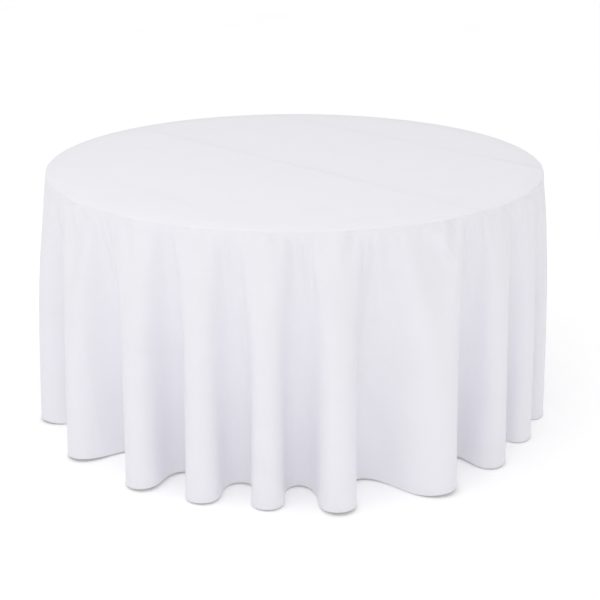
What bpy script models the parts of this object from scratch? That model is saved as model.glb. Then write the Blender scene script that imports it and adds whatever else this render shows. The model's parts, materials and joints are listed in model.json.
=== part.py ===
"""A floor-length round tablecloth on a round folding banquet table.

Metres, +Z up. The origin is on the floor under the table's centre, and -Y is the front. The table's two leg
frames fold inwards about the Y direction, one hung at +X (right) and one at -X (left).
"""
import math

import bmesh
import bpy
from mathutils import Matrix, Vector

# ---- Driving dimensions: table ----
TABLE_DIAMETER = 1.524
TABLE_HEIGHT = 0.762
TOP_THICKNESS = 0.019
MOULDING_WIDTH = 0.003          # how far the edge moulding stands out from the plywood
MOULDING_ROUNDING = 0.002
TONGUE_DEPTH = 0.009            # the moulding's tongue, pressed into a kerf in the plywood
TONGUE_THICKNESS = 0.0025
CLEARANCE = 0.0003              # between pieces that touch

RUNNER_THICKNESS = 0.025
RUNNER_HEIGHT = 0.045
RUNNER_OVERHANG = 0.13          # past the leg pivots
RUNNER_SCREW_X = 0.15

# ---- Driving dimensions: leg frames ----
PIVOT_INSET = 0.342             # from the table's rim to the leg pivots
LEG_HALF_SPREAD = 0.30          # from the middle to a leg of the wider, right frame
NEST_STEP = 0.05                # how much nearer the middle each leg of the left frame is
LEG_TO_RUNNER = 0.045
LEG_SPLAY = math.radians(4)
TUBE_DIAMETER = 0.0254
TUBE_WALL = 0.0015
STRETCHER_DIAMETER = 0.020
FOOT_WALL = 0.0033              # a foot stands out this far round its leg
FOOT_HEIGHT = 0.022
FOLD_GAP = 0.002                # between a folded foot and the top
NEST_GAP = 0.0046               # between the two folded frames

BRACKET_THICKNESS = 0.003
BRACKET_HALF_WIDTH = 0.042
BRACKET_MARGIN = 0.005          # of plate round the pivot tube
BRACKET_SCREW_X = 0.029
BRACKET_SCREW_DEPTH = 0.020     # below the top

# ---- Driving dimensions: folding braces ----
BRACE_ARM = 0.32                # from the leg pivot to the brace's top rivet
BRACE_STEP = 0.035              # the tab rivet is this much nearer the leg pivot
BRACE_OFFSET = 0.03             # from the middle, so that the two braces pass each other
LINK_THICKNESS = 0.003
LINK_HALF_WIDTH = 0.010
STRETCHER_PAST_BRACE = 0.035
BRACE_BRACKET_HALF_WIDTH = 0.012
BRACE_BRACKET_MARGIN = 0.002    # of plate below the links
FLANGE_HALF_WIDTH = 0.032
FLANGE_DEPTH = 0.026
FLANGE_SCREW_X = 0.022

# ---- Driving dimensions: fasteners ----
RIVET_RADIUS = 0.003
RIVET_HEAD_RADIUS = 0.0055
RIVET_HEAD_HEIGHT = 0.002
SCREW_RADIUS = 0.002
SCREW_HEAD_RADIUS = 0.0042
SCREW_HEAD_HEIGHT = 0.0022
SCREW_LENGTH = 0.014            # in the wood
HOLE_SLACK = 0.0004             # on a rivet's or a screw's radius
DRILL_START = 0.002             # how far above a surface a cutter starts

# ---- Driving dimensions: cloth ----
HEM_TO_FLOOR = 0.004
CLOTH_THICKNESS = 0.001
CLOTH_SLACK = 0.0012            # between the cloth and the table's rim
EDGE_BEND = 0.003               # the cloth's bend over the rim
HEM_HEIGHT = 0.012
HEM_THICKNESS = 0.0016
FOLD_STEEPNESS = 2.6            # of a fold at the hem, when the cloth hangs as far as the table's radius
DROP_POWER = 0.6                # how the folds deepen with the drop
CREST_POWER = 0.55              # how a crest grows from the rim down
VALLEY_POWER = 0.7
MEAN_PULL_IN = 0.0095           # the folds' middle line at the hem, inside the rim
FRONT_CRESTS = (-161, -141, -122.5, -108.5, -95, -81, -59.5, -44.5, -30.5, -18.5)
FRONT_VALLEYS = (-150.5, -133.5, -115.5, -102, -89, -72.5, -50, -38, -25)
BACK_CRESTS = 13
BACK_VARIATION = 0.16           # how unlike each other the back's folds are
BACK_RHYTHM = 2.4               # radians from one half fold to the next in the wave that varies them
BACK_PHASE = 0.7
COLUMNS_PER_HALF_FOLD = 3
RIM_DROP = 0.003                # how far below the top a valley starts to turn in
SKIRT_DEPTHS = (0.09, 0.2, 0.4, 0.68)

# ---- Smoothness ----
RIM_STEPS = 60
TUBE_STEPS = 16
PIN_STEPS = 8

# ---- Worked out from the driving dimensions ----
TABLE_RADIUS = TABLE_DIAMETER / 2
UNDERSIDE = TABLE_HEIGHT - TOP_THICKNESS
TUBE_RADIUS = TUBE_DIAMETER / 2
STRETCHER_RADIUS = STRETCHER_DIAMETER / 2
FOOT_RADIUS = TUBE_RADIUS + FOOT_WALL
PIVOT_X = TABLE_RADIUS - PIVOT_INSET
RIGHT_PIVOT_Z = UNDERSIDE - FOOT_RADIUS - FOLD_GAP
LEFT_PIVOT_Z = RIGHT_PIVOT_Z - TUBE_DIAMETER - NEST_GAP
RUNNER_Y = LEG_HALF_SPREAD + LEG_TO_RUNNER
RUNNER_TOP = UNDERSIDE - CLEARANCE
BRACKET_Y = RUNNER_Y - CLEARANCE - BRACKET_THICKNESS / 2
LAYER = LINK_THICKNESS + CLEARANCE
TAB_ARM = BRACE_ARM - BRACE_STEP
STRETCHER_ARM = BRACE_ARM + STRETCHER_PAST_BRACE
FOLD_ANGLE = math.pi / 2 + LEG_SPLAY
CLOTH_RIM = TABLE_RADIUS + CLOTH_THICKNESS + CLOTH_SLACK
CLOTH_TOP = TABLE_HEIGHT + CLEARANCE + CLOTH_THICKNESS
BEND_DEPTH = (TABLE_HEIGHT - CLOTH_TOP + EDGE_BEND) / TABLE_HEIGHT
FREE_DEPTH = (TOP_THICKNESS + RIM_DROP) / TABLE_HEIGHT

STEEL = ("powder_coated_steel", (0.055, 0.057, 0.06), 0.45, 0.6)
ZINC = ("zinc_plated_steel", (0.62, 0.63, 0.64), 0.35, 1.0)
PLYWOOD = ("birch_plywood", (0.62, 0.45, 0.27), 0.5, 0.0)
HARDWOOD = ("runner_wood", (0.55, 0.38, 0.21), 0.6, 0.0)
VINYL = ("moulding_vinyl", (0.06, 0.055, 0.05), 0.5, 0.0)
RUBBER = ("foot_rubber", (0.03, 0.03, 0.03), 0.8, 0.0)
CLOTH = ("white_polyester", (0.83, 0.83, 0.88), 0.75, 0.0)


# ---- Scene helpers ----
def clear_scene():
    for item in list(bpy.data.objects):
        bpy.data.objects.remove(item, do_unlink=True)


def new_collection(name):
    collection = bpy.data.collections.new(name)
    bpy.context.scene.collection.children.link(collection)
    return collection


def material(spec):
    name, colour, roughness, metallic = spec
    found = bpy.data.materials.get(name)
    if found:
        return found
    made = bpy.data.materials.new(name)
    made.use_nodes = True
    shader = made.node_tree.nodes["Principled BSDF"]
    shader.inputs["Base Color"].default_value = (*colour, 1.0)
    shader.inputs["Roughness"].default_value = roughness
    shader.inputs["Metallic"].default_value = metallic
    return made


def place(item, collection, spec=None, parent=None, location=(0, 0, 0), rotation=(0, 0, 0)):
    """Link an object, give it its material, and stand it where it belongs under its parent."""
    for holder in list(item.users_collection):
        holder.objects.unlink(item)
    collection.objects.link(item)
    if spec:
        item.data.materials.append(material(spec))
    item.parent = parent
    item.location = location
    item.rotation_euler = rotation
    return item


def empty(name, collection, location, turn=0.0):
    return place(bpy.data.objects.new(name, None), collection, None, None, location, (0, 0, turn))


# ---- Shape helpers ----
def block(name, size):
    """A box of the given size, centred on its origin."""
    bpy.ops.mesh.primitive_cube_add(size=1.0)
    item = bpy.context.active_object
    item.name = name
    item.data.name = name
    item.scale = size
    bpy.ops.object.transform_apply(location=False, rotation=False, scale=True)
    return item


def turned(name, profile, steps, ring=False):
    """Turn a profile of (radius, height) points about Z. A ring's is closed and stays off the axis."""
    mesh = bpy.data.meshes.new(name)
    count = len(profile)
    edges = [(i, (i + 1) % count) for i in range(count if ring else count - 1)]
    mesh.from_pydata([(radius, 0, height) for radius, height in profile], edges, [])
    item = bpy.data.objects.new(name, mesh)
    screw = item.modifiers.new("Turn", "SCREW")
    screw.steps = steps
    screw.render_steps = steps
    screw.use_merge_vertices = True
    screw.merge_threshold = 0.00001
    return item


def tube(name, radius, length):
    """A round tube from its origin up along Z, open at both ends."""
    inner = radius - TUBE_WALL
    return turned(name, [(inner, length), (radius, length), (radius, 0), (inner, 0)], TUBE_STEPS, ring=True)


def circle(centre, radius, steps, start=0.0, sweep=2 * math.pi):
    """Points round a circle, or along an arc with both of its ends."""
    whole = sweep == 2 * math.pi
    count = steps if whole else steps + 1
    return [
        (centre[0] + radius * math.cos(start + sweep * i / steps),
         centre[1] + radius * math.sin(start + sweep * i / steps))
        for i in range(count)
    ]


def plate(name, outlines, thickness):
    """A flat plate from a closed outline and the outlines of its holes, centred on its thickness."""
    curve = bpy.data.curves.new(name, "CURVE")
    curve.dimensions = "2D"
    curve.fill_mode = "BOTH"
    curve.extrude = thickness / 2
    for outline in outlines:
        spline = curve.splines.new("POLY")
        spline.points.add(len(outline) - 1)
        for point, (x, y) in zip(spline.points, outline):
            point.co = (x, y, 0, 1)
        spline.use_cyclic_u = True
    return bpy.data.objects.new(name, curve)


def dome(radius, height, steps):
    """The profile of a shallow domed head that stands on height 0, from the axis out and down."""
    angles = [math.pi / 2 * i / steps for i in range(steps + 1)]
    return [(radius * math.sin(angle), height * math.cos(angle)) for angle in angles]


def pin(name, radius, head_radius, head_height, length):
    """A pin along -Z from the seat of its domed head, which is at its origin."""
    profile = dome(head_radius, head_height, 2)
    profile += [(radius, 0), (radius, -length), (0, -length)]
    return turned(name, profile, PIN_STEPS)


def drill(target, cutters, name, location, rotation, depth, radius=SCREW_RADIUS):
    """Bore a hole for a screw or a rivet into a piece, along -Z of the given place, from just above it."""
    height = depth + DRILL_START
    bpy.ops.mesh.primitive_cylinder_add(vertices=PIN_STEPS, radius=radius + HOLE_SLACK, depth=height)
    cutter = bpy.context.active_object
    cutter.name = name
    cutter.data.transform(Matrix.Translation((0, 0, DRILL_START - height / 2)))
    place(cutter, cutters, None, None, location, rotation)
    cutter.hide_render = True
    cutter.display_type = "WIRE"
    cut = target.modifiers.new(name, "BOOLEAN")
    cut.operation = "DIFFERENCE"
    cut.object = cutter
    return cutter


# ---- Table top ----
def table_top(parts):
    """Plywood disc with a kerf round its edge for the moulding's tongue."""
    radius = TABLE_RADIUS - MOULDING_WIDTH - CLEARANCE
    kerf = radius - TONGUE_DEPTH - CLEARANCE
    middle = TABLE_HEIGHT - TOP_THICKNESS / 2
    half = TONGUE_THICKNESS / 2 + CLEARANCE
    profile = [
        (0, TABLE_HEIGHT), (radius, TABLE_HEIGHT), (radius, middle + half), (kerf, middle + half),
        (kerf, middle - half), (radius, middle - half), (radius, UNDERSIDE), (0, UNDERSIDE),
    ]
    return place(turned("table_top", profile, RIM_STEPS), parts, PLYWOOD)


def edge_moulding(parts):
    """Vinyl T-moulding: a rounded band as high as the plywood, with a tongue into its kerf."""
    inner = TABLE_RADIUS - MOULDING_WIDTH
    tip = inner - TONGUE_DEPTH
    bend = MOULDING_ROUNDING
    middle = TABLE_HEIGHT - TOP_THICKNESS / 2
    half = TONGUE_THICKNESS / 2
    profile = [(tip, middle + half), (inner, middle + half), (inner, TABLE_HEIGHT)]
    profile += circle((TABLE_RADIUS - bend, TABLE_HEIGHT - bend), bend, 2, math.pi / 2, -math.pi / 2)
    profile += circle((TABLE_RADIUS - bend, UNDERSIDE + bend), bend, 2, 0, -math.pi / 2)
    profile += [(inner, UNDERSIDE), (inner, middle - half), (tip, middle - half)]
    return place(turned("edge_moulding", profile, RIM_STEPS, ring=True), parts, VINYL)


def runner(name, sign, parts):
    length = 2 * (PIVOT_X + RUNNER_OVERHANG)
    item = block(name, (length, RUNNER_THICKNESS, RUNNER_HEIGHT))
    middle = (0, sign * (RUNNER_Y + RUNNER_THICKNESS / 2), RUNNER_TOP - RUNNER_HEIGHT / 2)
    return place(item, parts, HARDWOOD, None, middle)


def runner_screws(label, sign, runner_piece, top, parts, cutters):
    """Long screws up through a runner into the top."""
    head_up = (math.pi, 0, 0)
    seat = RUNNER_TOP - RUNNER_HEIGHT - CLEARANCE
    length = UNDERSIDE + SCREW_LENGTH - seat
    for number, x in enumerate((-RUNNER_SCREW_X, RUNNER_SCREW_X), 1):
        name = f"runner_screw_{label}_{number}"
        spot = (x, sign * (RUNNER_Y + RUNNER_THICKNESS / 2), seat)
        screw = pin(name, SCREW_RADIUS, SCREW_HEAD_RADIUS, SCREW_HEAD_HEIGHT, length)
        place(screw, parts, ZINC, None, spot, head_up)
        for piece in (runner_piece, top):
            drill(piece, cutters, f"{name}_{piece.name}_hole", spot, head_up, length + CLEARANCE)


# ---- Leg frames ----
def pivot_bracket(name, sign, pivot_z, x, parts):
    """Steel plate against a runner's inner face, with a hole that the pivot tube turns in."""
    low = -TUBE_RADIUS - BRACKET_MARGIN
    high = RUNNER_TOP - pivot_z
    width = BRACKET_HALF_WIDTH
    corner = -low
    outline = circle((width - corner, low + corner), corner, 3, 0, -math.pi / 2)
    outline += circle((corner - width, low + corner), corner, 3, -math.pi / 2, -math.pi / 2)
    outline += [(-width, high), (width, high)]
    screw_z = UNDERSIDE - BRACKET_SCREW_DEPTH - pivot_z
    holes = [circle((0, 0), TUBE_RADIUS + HOLE_SLACK, TUBE_STEPS)]
    for screw_x in (-BRACKET_SCREW_X, BRACKET_SCREW_X):
        holes.append(circle((screw_x, screw_z), SCREW_RADIUS + HOLE_SLACK, PIN_STEPS))
    item = plate(name, [outline, *holes], BRACKET_THICKNESS)
    return place(item, parts, STEEL, None, (x, sign * BRACKET_Y, pivot_z), (math.pi / 2, 0, 0))


def bracket_screws(name, sign, x, runner_piece, parts, cutters):
    """Two screws from a pivot bracket into its runner."""
    outward = (sign * math.pi / 2, 0, 0)
    seat = BRACKET_Y - BRACKET_THICKNESS / 2 - CLEARANCE
    length = RUNNER_Y + SCREW_LENGTH - seat
    for number, offset in enumerate((-BRACKET_SCREW_X, BRACKET_SCREW_X), 1):
        screw_name = f"{name}_screw_{number}"
        spot = (x + offset, sign * seat, UNDERSIDE - BRACKET_SCREW_DEPTH)
        screw = pin(screw_name, SCREW_RADIUS, SCREW_HEAD_RADIUS, SCREW_HEAD_HEIGHT, length)
        place(screw, parts, ZINC, None, spot, outward)
        drill(runner_piece, cutters, f"{screw_name}_hole", spot, outward, length + CLEARANCE)


def along_leg(distance):
    """A point on a leg's line, the given distance from its pivot, in the frame's own directions."""
    return distance * math.sin(LEG_SPLAY), -distance * math.cos(LEG_SPLAY)


def cross_tube(name, radius, half_length, arm, pivot, parts):
    """A tube along Y, the given distance down the legs."""
    x, z = along_leg(arm)
    item = tube(name, radius, 2 * half_length)
    return place(item, parts, STEEL, pivot, (x, half_length, z), (math.pi / 2, 0, 0))


def leg(name, y, pivot_z, pivot, parts):
    """A straight leg from just under the pivot tube to its foot."""
    top = TUBE_RADIUS + CLEARANCE
    bottom = pivot_z / math.cos(LEG_SPLAY) - FOOT_HEIGHT - CLEARANCE
    x, z = along_leg(bottom)
    item = tube(name, TUBE_RADIUS, bottom - top)
    return place(item, parts, STEEL, pivot, (x, y, z), (0, -LEG_SPLAY, 0))


def foot(name, y, pivot_z, pivot, parts):
    """A rubber foot in line with its leg, cut level at the floor."""
    reach = pivot_z / math.cos(LEG_SPLAY)
    spare = FOOT_RADIUS
    bpy.ops.mesh.primitive_cylinder_add(vertices=TUBE_STEPS, radius=FOOT_RADIUS, depth=FOOT_HEIGHT + spare)
    item = bpy.context.active_object
    item.name = name
    shape = bmesh.new()
    shape.from_mesh(item.data)
    bmesh.ops.translate(shape, verts=shape.verts, vec=(0, 0, (FOOT_HEIGHT - spare) / 2))
    floor_down = Vector((-math.sin(LEG_SPLAY), 0, -math.cos(LEG_SPLAY)))
    everything = shape.verts[:] + shape.edges[:] + shape.faces[:]
    cut = bmesh.ops.bisect_plane(
        shape, geom=everything, plane_co=(0, 0, 0), plane_no=floor_down, clear_outer=True,
    )
    rim = [item for item in cut["geom_cut"] if isinstance(item, bmesh.types.BMEdge)]
    bmesh.ops.contextual_create(shape, geom=rim)
    bmesh.ops.recalc_face_normals(shape, faces=shape.faces)
    shape.to_mesh(item.data)
    shape.free()
    x, z = along_leg(reach)
    return place(item, parts, RUBBER, pivot, (x, y, z), (0, -LEG_SPLAY, 0))


def leg_frame(side_name, side, half_spread, pivot_z, pivot, parts):
    """Pivot tube, two legs with their feet, and the stretcher that carries the brace."""
    cross_tube(f"{side_name}_pivot_tube", TUBE_RADIUS, RUNNER_Y - 2 * CLEARANCE, 0, pivot, parts)
    for y in (-half_spread, half_spread):
        place_name = "back" if y * side > 0 else "front"
        leg(f"{side_name}_leg_{place_name}", y, pivot_z, pivot, parts)
        foot(f"{side_name}_foot_{place_name}", y, pivot_z, pivot, parts)
    half_length = half_spread - TUBE_RADIUS - CLEARANCE
    cross_tube(f"{side_name}_stretcher", STRETCHER_RADIUS, half_length, STRETCHER_ARM, pivot, parts)


# ---- Folding braces ----
def brace_lengths():
    """The two links' lengths and the upper link's slope, which close the brace both open and folded."""
    reach = math.sqrt(BRACE_ARM ** 2 + TAB_ARM ** 2 - 2 * BRACE_ARM * TAB_ARM * math.cos(FOLD_ANGLE))
    slope = math.asin(TAB_ARM * math.sin(FOLD_ANGLE) / reach)
    upper = (reach + BRACE_STEP) / 2
    return upper, reach - upper, slope


def layer_y(number):
    """The middle of one of the brace's layers: -1 bracket, 0 upper link, 1 lower link, 2 tab."""
    return BRACE_OFFSET + number * LAYER


def link(name, length, layer, spot, slope, pivot, parts):
    """A flat link with round ends and a rivet hole at each, from its joint at its origin."""
    outline = circle((0, 0), LINK_HALF_WIDTH, 6, math.pi / 2, math.pi)
    outline += circle((length, 0), LINK_HALF_WIDTH, 6, -math.pi / 2, math.pi)
    holes = [circle((x, 0), RIVET_RADIUS + HOLE_SLACK, PIN_STEPS) for x in (0, length)]
    item = plate(name, [outline, *holes], LINK_THICKNESS)
    return place(item, parts, ZINC, pivot, (spot[0], layer_y(layer), spot[1]), (math.pi / 2, -slope, 0))


def brace_tab(name, pivot, parts):
    """A plate from the stretcher up to the lower link's rivet."""
    length = STRETCHER_ARM - TAB_ARM - STRETCHER_RADIUS - CLEARANCE
    outline = circle((0, 0), LINK_HALF_WIDTH, 6, math.pi / 2, math.pi)
    outline += [(length, -LINK_HALF_WIDTH), (length, LINK_HALF_WIDTH)]
    hole = circle((0, 0), RIVET_RADIUS + HOLE_SLACK, PIN_STEPS)
    item = plate(name, [outline, hole], LINK_THICKNESS)
    x, z = along_leg(TAB_ARM)
    slope = LEG_SPLAY - math.pi / 2
    return place(item, parts, STEEL, pivot, (x, layer_y(2), z), (math.pi / 2, -slope, 0))


def rivet(name, head_layer, end_layer, spot, head_side, pivot, parts):
    """A rivet with its head on a layer's +Y side (1) or -Y side (-1), flush with another's far face."""
    seat = layer_y(head_layer) + head_side * (LINK_THICKNESS + CLEARANCE) / 2
    end = layer_y(end_layer) - head_side * LINK_THICKNESS / 2
    item = pin(name, RIVET_RADIUS, RIVET_HEAD_RADIUS, RIVET_HEAD_HEIGHT, abs(seat - end))
    return place(item, parts, ZINC, pivot, (spot[0], seat, spot[1]), (-head_side * math.pi / 2, 0, 0))


def brace_bracket(name, pivot, pivot_z, top, parts, cutters):
    """An angle bracket under the top: a flange with two screws, and a plate down to the top rivet."""
    top_z = RUNNER_TOP - pivot_z
    plate_y = layer_y(-1)
    low = -LINK_HALF_WIDTH - BRACE_BRACKET_MARGIN
    height = top_z - low
    item = block(name, (2 * BRACE_BRACKET_HALF_WIDTH, LINK_THICKNESS, height))
    place(item, parts, STEEL, pivot, (-BRACE_ARM, plate_y, low + height / 2))

    flange = block(f"{name}_flange", (2 * FLANGE_HALF_WIDTH, FLANGE_DEPTH, LINK_THICKNESS))
    flange_y = plate_y + LINK_THICKNESS / 2 - FLANGE_DEPTH / 2
    place(flange, cutters, None, pivot, (-BRACE_ARM, flange_y, top_z - LINK_THICKNESS / 2))
    flange.hide_render = True
    flange.display_type = "WIRE"
    join = item.modifiers.new("Flange", "BOOLEAN")
    join.operation = "UNION"
    join.object = flange

    inward = (math.pi / 2, 0, 0)
    start = (-BRACE_ARM, plate_y - LINK_THICKNESS, 0)
    hole = drill(item, cutters, f"{name}_rivet_hole", start, inward, 2 * LINK_THICKNESS, RIVET_RADIUS)
    hole.parent = pivot

    head_up = (math.pi, 0, 0)
    seat = top_z - LINK_THICKNESS - CLEARANCE
    length = UNDERSIDE - pivot_z + SCREW_LENGTH - seat
    for number, offset in enumerate((-FLANGE_SCREW_X, FLANGE_SCREW_X), 1):
        screw_name = f"{name}_screw_{number}"
        spot = (offset - BRACE_ARM, flange_y, seat)
        screw = pin(screw_name, SCREW_RADIUS, SCREW_HEAD_RADIUS, SCREW_HEAD_HEIGHT, length)
        place(screw, parts, ZINC, pivot, spot, head_up)
        for piece in (item, top):
            hole_name = f"{screw_name}_{piece.name}_hole"
            hole = drill(piece, cutters, hole_name, spot, head_up, length + CLEARANCE)
            hole.parent = pivot


def folding_brace(side_name, pivot, parts):
    """The two links, the tab on the stretcher and the rivets, with the legs open.

    The knuckle's rivet is in two halves that meet between the links, one in each link.
    """
    upper, lower, slope = brace_lengths()
    top_spot = (-BRACE_ARM, 0)
    tab_spot = along_leg(TAB_ARM)
    knuckle = (top_spot[0] + upper * math.cos(slope), -upper * math.sin(slope))
    link(f"{side_name}_brace_upper", upper, 0, top_spot, -slope, pivot, parts)
    link(f"{side_name}_brace_lower", lower, 1, tab_spot, math.pi - slope, pivot, parts)
    brace_tab(f"{side_name}_brace_tab", pivot, parts)
    rivet(f"{side_name}_top_rivet", -1, 0, top_spot, -1, pivot, parts)
    rivet(f"{side_name}_knuckle_rivet_upper", 0, 0, knuckle, -1, pivot, parts)
    rivet(f"{side_name}_knuckle_rivet_lower", 1, 1, knuckle, 1, pivot, parts)
    rivet(f"{side_name}_tab_rivet", 2, 1, tab_spot, 1, pivot, parts)


# ---- Cloth ----
def fold_marks():
    """The folds round the table, as (angle, is it a crest), in order, and over one turn."""
    marks = [(math.radians(a), True) for a in FRONT_CRESTS]
    marks += [(math.radians(a), False) for a in FRONT_VALLEYS]
    start = math.radians(FRONT_CRESTS[-1])
    gap = math.radians(FRONT_CRESTS[0] + 360) - start
    waves = [BACK_RHYTHM * i + BACK_PHASE for i in range(2 * BACK_CRESTS + 2)]
    widths = [1 + BACK_VARIATION * math.sin(wave) for wave in waves]
    at = start
    for i, width in enumerate(widths[:-1]):
        at += gap * width / sum(widths)
        marks.append((at, i % 2 == 1))
    return sorted(marks)


def fold_reach(width, mean_width):
    """How far a crest or valley stands from the folds' middle line at the hem."""
    drop = TABLE_HEIGHT - HEM_TO_FLOOR
    steepness = FOLD_STEEPNESS * (drop / TABLE_RADIUS) ** DROP_POWER
    return steepness * TABLE_RADIUS * mean_width / (2 * math.pi) * math.sqrt(width / mean_width)


def cloth_columns():
    """One entry for each column of the skirt: (angle, share of crest, crest's reach, valley's reach)."""
    marks = fold_marks()
    count = len(marks)
    turn = 2 * math.pi
    mean_width = 2 * turn / count
    columns = []
    for i, (angle, crest) in enumerate(marks):
        following = marks[(i + 1) % count][0] + (turn if i == count - 1 else 0)
        after = marks[(i + 2) % count][0] + (turn if i >= count - 2 else 0)
        before = marks[i - 1][0] - (turn if i == 0 else 0)
        reach_here = fold_reach(following - before, mean_width)
        reach_next = fold_reach(after - angle, mean_width)
        for step in range(COLUMNS_PER_HALF_FOLD):
            share = (1 + math.cos(math.pi * step / COLUMNS_PER_HALF_FOLD)) / 2
            at = angle + (following - angle) * step / COLUMNS_PER_HALF_FOLD
            if crest:
                columns.append((at, share, reach_here, reach_next))
            else:
                columns.append((at, 1 - share, reach_next, reach_here))
    return columns


def skirt_radius(column, depth):
    """The cloth's outer radius in a column, at a depth of 0 at the table's top to 1 at the floor."""
    _, share, crest_reach, valley_reach = column
    mean = CLOTH_RIM - MEAN_PULL_IN * depth
    crest = mean + crest_reach * depth ** CREST_POWER
    valley = mean - valley_reach * (max(0.0, depth - FREE_DEPTH) / (1 - FREE_DEPTH)) ** VALLEY_POWER
    return valley + share * (crest - valley)


def skirt_ring(columns, depth):
    z = TABLE_HEIGHT * (1 - depth)
    ring = []
    for column in columns:
        radius = skirt_radius(column, depth)
        ring.append((radius * math.cos(column[0]), radius * math.sin(column[0]), z))
    return ring


def draped_sheet(name, rings, thickness, centre=None):
    """A shell lofted from ring to ring, facing out, with its thickness on the inside."""
    points = [point for ring in rings for point in ring]
    around = len(rings[0])
    faces = []
    for row in range(len(rings) - 1):
        for i in range(around):
            j = (i + 1) % around
            upper, lower = row * around, (row + 1) * around
            faces.append((upper + i, lower + i, lower + j, upper + j))
    if centre:
        points.append(centre)
        faces += [(len(points) - 1, i, (i + 1) % around) for i in range(around)]
    mesh = bpy.data.meshes.new(name)
    mesh.from_pydata(points, [], faces)
    item = bpy.data.objects.new(name, mesh)
    shell = item.modifiers.new("Thickness", "SOLIDIFY")
    shell.thickness = thickness
    shell.offset = -1
    shell.use_even_offset = True
    return item


def cloth(parts):
    """The draped sheet, and the hem as a band that carries on from its lower edge."""
    columns = cloth_columns()
    hem_top = HEM_TO_FLOOR + HEM_HEIGHT
    last = 1 - (hem_top + CLEARANCE) / TABLE_HEIGHT
    bend = circle((CLOTH_RIM - EDGE_BEND, CLOTH_TOP - EDGE_BEND), EDGE_BEND, 2, math.pi / 2, -math.pi / 2)
    rings = [[(r * math.cos(c[0]), r * math.sin(c[0]), z) for c in columns] for r, z in bend[:2]]
    rings += [skirt_ring(columns, depth) for depth in (BEND_DEPTH, FREE_DEPTH, *SKIRT_DEPTHS, last)]
    place(draped_sheet("tablecloth", rings, CLOTH_THICKNESS, (0, 0, CLOTH_TOP)), parts, CLOTH)
    band = [skirt_ring(columns, 1 - z / TABLE_HEIGHT) for z in (hem_top, HEM_TO_FLOOR)]
    place(draped_sheet("hem", band, HEM_THICKNESS), parts, CLOTH)


# ---- The whole object ----
def main():
    clear_scene()
    parts = new_collection("tablecloth_on_table")
    cutters = new_collection("cutters")
    top = table_top(parts)
    edge_moulding(parts)
    runners = {}
    for label, sign in (("front", -1), ("back", 1)):
        runners[sign] = runner(f"runner_{label}", sign, parts)
        runner_screws(label, sign, runners[sign], top, parts, cutters)
    sides = (
        ("right", 1, LEG_HALF_SPREAD, RIGHT_PIVOT_Z),
        ("left", -1, LEG_HALF_SPREAD - NEST_STEP, LEFT_PIVOT_Z),
    )
    for side_name, side, half_spread, pivot_z in sides:
        turn = 0 if side > 0 else math.pi
        pivot = empty(f"{side_name}_leg_pivot", parts, (side * PIVOT_X, 0, pivot_z), turn)
        leg_frame(side_name, side, half_spread, pivot_z, pivot, parts)
        folding_brace(side_name, pivot, parts)
        brace_bracket(f"{side_name}_brace_bracket", pivot, pivot_z, top, parts, cutters)
        for label, sign in (("front", -1), ("back", 1)):
            name = f"{side_name}_bracket_{label}"
            pivot_bracket(name, sign, pivot_z, side * PIVOT_X, parts)
            bracket_screws(name, sign, side * PIVOT_X, runners[sign], parts, cutters)
    cloth(parts)


main()
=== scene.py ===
"""The looks of a floor-length round tablecloth on a folding banquet table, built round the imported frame.

Metres, +Z up, the floor at z 0, -Y the front. The cloth is pleated to its real length and then simulated.
The table's pieces are rebuilt finer, where the frame's boxes, joints and mounts say that they lie.
"""
import json
import math

import bmesh
import bpy
import numpy as np
from mathutils import Matrix, Vector, noise


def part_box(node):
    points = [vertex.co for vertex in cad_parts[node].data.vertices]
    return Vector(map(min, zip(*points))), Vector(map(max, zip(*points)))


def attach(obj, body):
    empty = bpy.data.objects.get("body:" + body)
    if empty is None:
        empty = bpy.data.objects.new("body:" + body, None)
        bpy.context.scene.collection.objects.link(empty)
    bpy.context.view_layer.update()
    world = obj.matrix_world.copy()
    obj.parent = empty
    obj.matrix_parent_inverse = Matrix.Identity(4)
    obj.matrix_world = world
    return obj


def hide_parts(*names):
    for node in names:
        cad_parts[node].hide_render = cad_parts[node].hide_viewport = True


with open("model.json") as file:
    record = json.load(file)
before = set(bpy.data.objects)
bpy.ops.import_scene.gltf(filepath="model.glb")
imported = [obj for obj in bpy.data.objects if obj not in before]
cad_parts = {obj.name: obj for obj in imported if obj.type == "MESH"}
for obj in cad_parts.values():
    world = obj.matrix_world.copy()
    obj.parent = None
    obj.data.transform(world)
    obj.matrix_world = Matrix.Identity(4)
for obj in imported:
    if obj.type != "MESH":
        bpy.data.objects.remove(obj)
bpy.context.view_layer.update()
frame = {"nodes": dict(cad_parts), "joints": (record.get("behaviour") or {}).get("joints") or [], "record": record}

RECORD = frame["record"]
BODY_OF = {node: body for body, nodes in RECORD["behaviour"]["bodies"].items() for node in nodes}
JOINTS = {joint["name"]: joint for joint in frame["joints"]}
MOUNTS = {mount["name"]: mount for mount in RECORD["mounts"]}

# ---- Cloth: sizes ----
TABLE_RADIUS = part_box("edge_moulding")[1].x
TABLE_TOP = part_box("table_top")[1].z
TOP_THICKNESS = TABLE_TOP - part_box("table_top")[0].z
CLOTH_RADIUS = 1.524  # of the flat round cloth
SHEET_THICKNESS = 0.0008
SHEET_CLEARANCE = 0.0006  # of the sheet's middle from the table top's edge, at least
SHEET_LIFT = 0.001  # the sheet's middle above the table top, and outside its rim
RIM_BEND = 0.003
RIM_START = TABLE_RADIUS - RIM_BEND + SHEET_LIFT / 2  # where the flat cloth starts to bend down
SKIRT_START = RIM_START + RIM_BEND * math.pi / 2  # and where it hangs

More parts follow.
